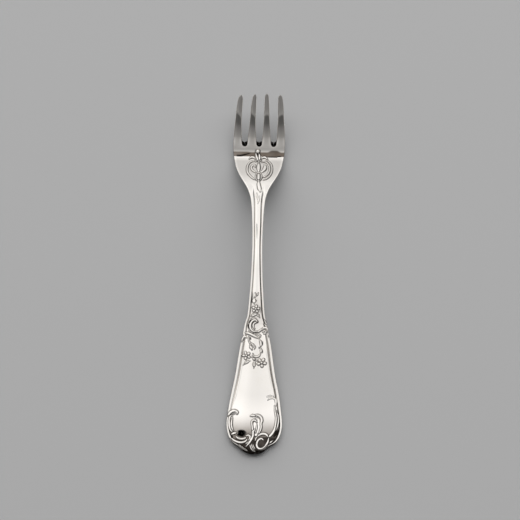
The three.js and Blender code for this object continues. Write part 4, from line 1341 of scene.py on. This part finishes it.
class FORK_OT_stage(bpy.types.Operator):
    """Lay the table, hang the soft light and set up the camera over the fork"""

    bl_idname = "fork.stage"
    bl_label = "Stage"

    TABLE_SIZE = 4.0
    AIM = (1.2 * MM, 6.24 * MM)
    SPOT = (-5.3, 8.5)
    SPOT_RADII = (2.25, 1.85)
    SPOT_POINTS = 48
    SLOPE_STEP = 0.05
    LENS_HEIGHT = 1.0
    SENSOR_WIDTH = 36.0
    HORIZON = 0.5
    HORIZON_LEVEL = 0.5
    LAMP_SIZE = (14.0, 4.4)
    LAMP_PLACE = (0.0, 3.2, 1.8)

    # Levels of the tent's light at degrees from overhead: towards the handle's end, and to the right
    LENGTHWISE = (
        (-90, 0.04), (-66, 0.2), (-58, 0.7), (-48, 1.0), (-20, 1.0), (0, 0.98), (10, 1.02), (14, 0.9),
        (19.5, 0.92), (23.3, 0.65), (27.2, 0.42), (30.2, 0.22), (33.5, 0.09), (36.7, 0.075), (36.9, 0.27),
        (38.3, 0.185), (41.2, 0.17), (42.5, 0.04), (60, 0.02), (90, 0.02),
    )
    SIDEWAYS = (
        (-90, 0.03), (-66, 0.1), (-54, 0.6), (-42, 1.1), (-7, 1.06), (-2, 0.95), (2, 0.94), (8, 0.98),
        (14, 1.04), (30, 1.12), (40, 0.7), (50, 0.2), (70, 0.04), (90, 0.03),
    )

    def execute(self, context):
        stage = context.scene.fork_stage
        self.table(context, stage)
        self.light(context, stage)
        self.lamp(context, stage)
        self.camera(context, stage)
        self.lens(context)
        context.scene.view_settings.view_transform = "Standard"
        return {"FINISHED"}

    @staticmethod
    def sheet(context, name, corners, material):
        """One flat face of the stage, through its corners in their order."""
        mesh = bpy.data.meshes.new(name)
        mesh.from_pydata(corners, [], [list(range(len(corners)))])
        mesh.materials.append(material)
        sheet = bpy.data.objects.new(name, mesh)
        context.scene.collection.objects.link(sheet)
        return sheet

    def table(self, context, stage):
        """A wide flat sheet under the fork."""
        half = self.TABLE_SIZE / 2
        corners = [(-half, -half, 0.0), (half, -half, 0.0), (half, half, 0.0), (-half, half, 0.0)]
        self.sheet(context, "table", corners, table_paper(stage))

    def light(self, context, stage):
        """A tent of soft light: bright overhead and behind the tips, darker towards the handle's end.

        The two arcs are multiplied. A soft horizon, which only the polish mirrors, lightens what is low."""
        world = bpy.data.worlds.new("tent")
        context.scene.world = world
        world.use_nodes = True
        shader = Shader(world.node_tree)
        way = shader.node("ShaderNodeTexCoord", output="Generated")
        x = shader.node("ShaderNodeSeparateXYZ", None, {0: way})
        y = x.sibling(1)
        z = x.sibling(2)
        sweep = self.arc(shader, 0 - y, z, self.LENGTHWISE)
        fall = self.arc(shader, x, z, self.SIDEWAYS)
        multiply = {"data_type": "RGBA", "blend_type": "MULTIPLY"}
        glow = shader.node("ShaderNodeMix", multiply, {0: 1.0, 6: sweep, 7: fall}, output=2)
        mirrored = shader.node("ShaderNodeLightPath", output="Is Glossy Ray")
        horizon = mirrored * ((self.HORIZON - z) / self.HORIZON).clamped() * self.HORIZON_LEVEL
        sky = shader.mix(horizon, glow, (1.0, 1.0, 1.0, 1.0))
        lit = shader.node("ShaderNodeBackground", None, {"Color": sky, "Strength": stage.light})
        shader.node("ShaderNodeOutputWorld", None, {"Surface": lit})

    @staticmethod
    def arc(shader, along, up, levels):
        """Light that changes along an arc over the table: a ramp over the angle atan2(along, up)."""
        share = along.math("ARCTAN2", up) / math.pi + 0.5
        stops = [(0.5 + angle / 180, (level, level, level, 1.0)) for angle, level in levels]
        return shader.node("ShaderNodeValToRGB", {"stops": stops}, {"Fac": share})

    def lamp(self, context, stage):
        """A wide soft lamp low behind the tips, which lays the shadow beside the head and the neck."""
        data = bpy.data.lights.new("lamp", "AREA")
        data.shape = "ELLIPSE"
        data.size, data.size_y = self.LAMP_SIZE
        data.energy = stage.lamp
        lamp = bpy.data.objects.new("lamp", data)
        lamp.location = self.LAMP_PLACE
        lamp.rotation_euler = (-math.atan2(*self.LAMP_PLACE[1:]), 0.0, 0.0)
        lamp.visible_glossy = False
        lamp.visible_camera = False
        context.scene.collection.objects.link(lamp)

    def lens(self, context):
        """The lens over the table: a black disc that shows only as a dark spot in the polish of the handle.

        Its rim is where rays from the camera to the spot's rim go after the polish mirrors them."""
        angle = np.linspace(0, 2 * math.pi, self.SPOT_POINTS, endpoint=False)
        x = self.SPOT[0] + self.SPOT_RADII[0] * np.cos(angle)
        station = self.SPOT[1] + self.SPOT_RADII[1] * np.sin(angle)
        material, shader = Shader.material("black_glass")
        black = shader.node("ShaderNodeEmission", None, {"Color": (0.0, 0.0, 0.0, 1.0)})
        shader.node("ShaderNodeOutputMaterial", None, {"Surface": black})
        disc = self.sheet(context, "lens", self.mirrored(x, station, context), material)
        disc.visible_camera = False
        disc.visible_diffuse = False
        disc.visible_shadow = False

    def mirrored(self, x, station, context):
        """Where rays from the camera go after the handle's end mirrors them: away = 2 (n . v) n - v."""
        crown = context.scene.fork_sizes.front_crown / MM

        def front(across, along):
            """The middle line, less the crown times the square of the share of the way out."""
            return front_line(along) - crown * end_share(across, along) ** 2

        step = self.SLOPE_STEP
        tilt = (front(x + step, station) - front(x - step, station)) / (2 * step)
        slope = (front(x, station + step) - front(x, station - step)) / (2 * step)
        normal = np.stack([-tilt, -slope, np.ones_like(x)], axis=1)
        normal /= np.linalg.norm(normal, axis=1, keepdims=True)
        place = np.stack([x * MM, HANDLE_END + station * MM, front(x, station) * MM], axis=1)
        view = np.array(context.scene.camera.location) - place
        view /= np.linalg.norm(view, axis=1, keepdims=True)
        away = 2 * np.sum(normal * view, axis=1, keepdims=True) * normal - view
        return place + away * self.LENS_HEIGHT / away[:, 2:]

    def camera(self, context, stage):
        """A long lens straight above the fork."""
        data = bpy.data.cameras.new("camera")
        data.sensor_width = self.SENSOR_WIDTH
        data.lens = data.sensor_width * stage.camera_height / stage.field
        camera = bpy.data.objects.new("camera", data)
        camera.location = (*self.AIM, stage.camera_height)
        camera.rotation_euler = (0.0, 0.0, stage.lean)
        context.scene.collection.objects.link(camera)
        context.scene.camera = camera


class FORK_PT_panel(bpy.types.Panel):
    """The fork's pieces and sizes"""

    bl_label = "Baby fork"
    bl_idname = "FORK_PT_panel"
    bl_space_type = "VIEW_3D"
    bl_region_type = "UI"
    bl_category = "Fork"

    def draw(self, context):
        for group in (context.scene.fork_sizes, context.scene.fork_finish, context.scene.fork_stage):
            box = self.layout.box()
            for name in group.bl_rna.properties.keys():
                if name not in {"rna_type", "name"}:
                    box.prop(group, name)
        for operator in OPERATORS:
            self.layout.operator(operator.bl_idname)


GROUPS = {"fork_sizes": ForkSizes, "fork_finish": ForkFinish, "fork_stage": ForkStage}
OPERATORS = (
    FORK_OT_stage, FORK_OT_handle_blade, FORK_OT_stem, FORK_OT_neck, FORK_OT_head, FORK_OT_tines,
)


def register():
    """Registers the groups, which hang on the scene, then the operators and the panel."""
    for name, group in GROUPS.items():
        bpy.utils.register_class(group)
        setattr(bpy.types.Scene, name, PointerProperty(type=group))
    for operator in OPERATORS:
        bpy.utils.register_class(operator)
    bpy.utils.register_class(FORK_PT_panel)


def unregister():
    """Takes back what register did, in the opposite order."""
    bpy.utils.unregister_class(FORK_PT_panel)
    for operator in reversed(OPERATORS):
        bpy.utils.unregister_class(operator)
    for name, group in reversed(GROUPS.items()):
        delattr(bpy.types.Scene, name)
        bpy.utils.unregister_class(group)


def main():
    """Builds the stage and the pieces."""
    register()
    bpy.ops.fork.stage()
    bpy.ops.fork.handle_blade()
    bpy.ops.fork.stem()
    bpy.ops.fork.neck()
    bpy.ops.fork.head()
    bpy.ops.fork.tines()


if __name__ == "__main__":
    main()
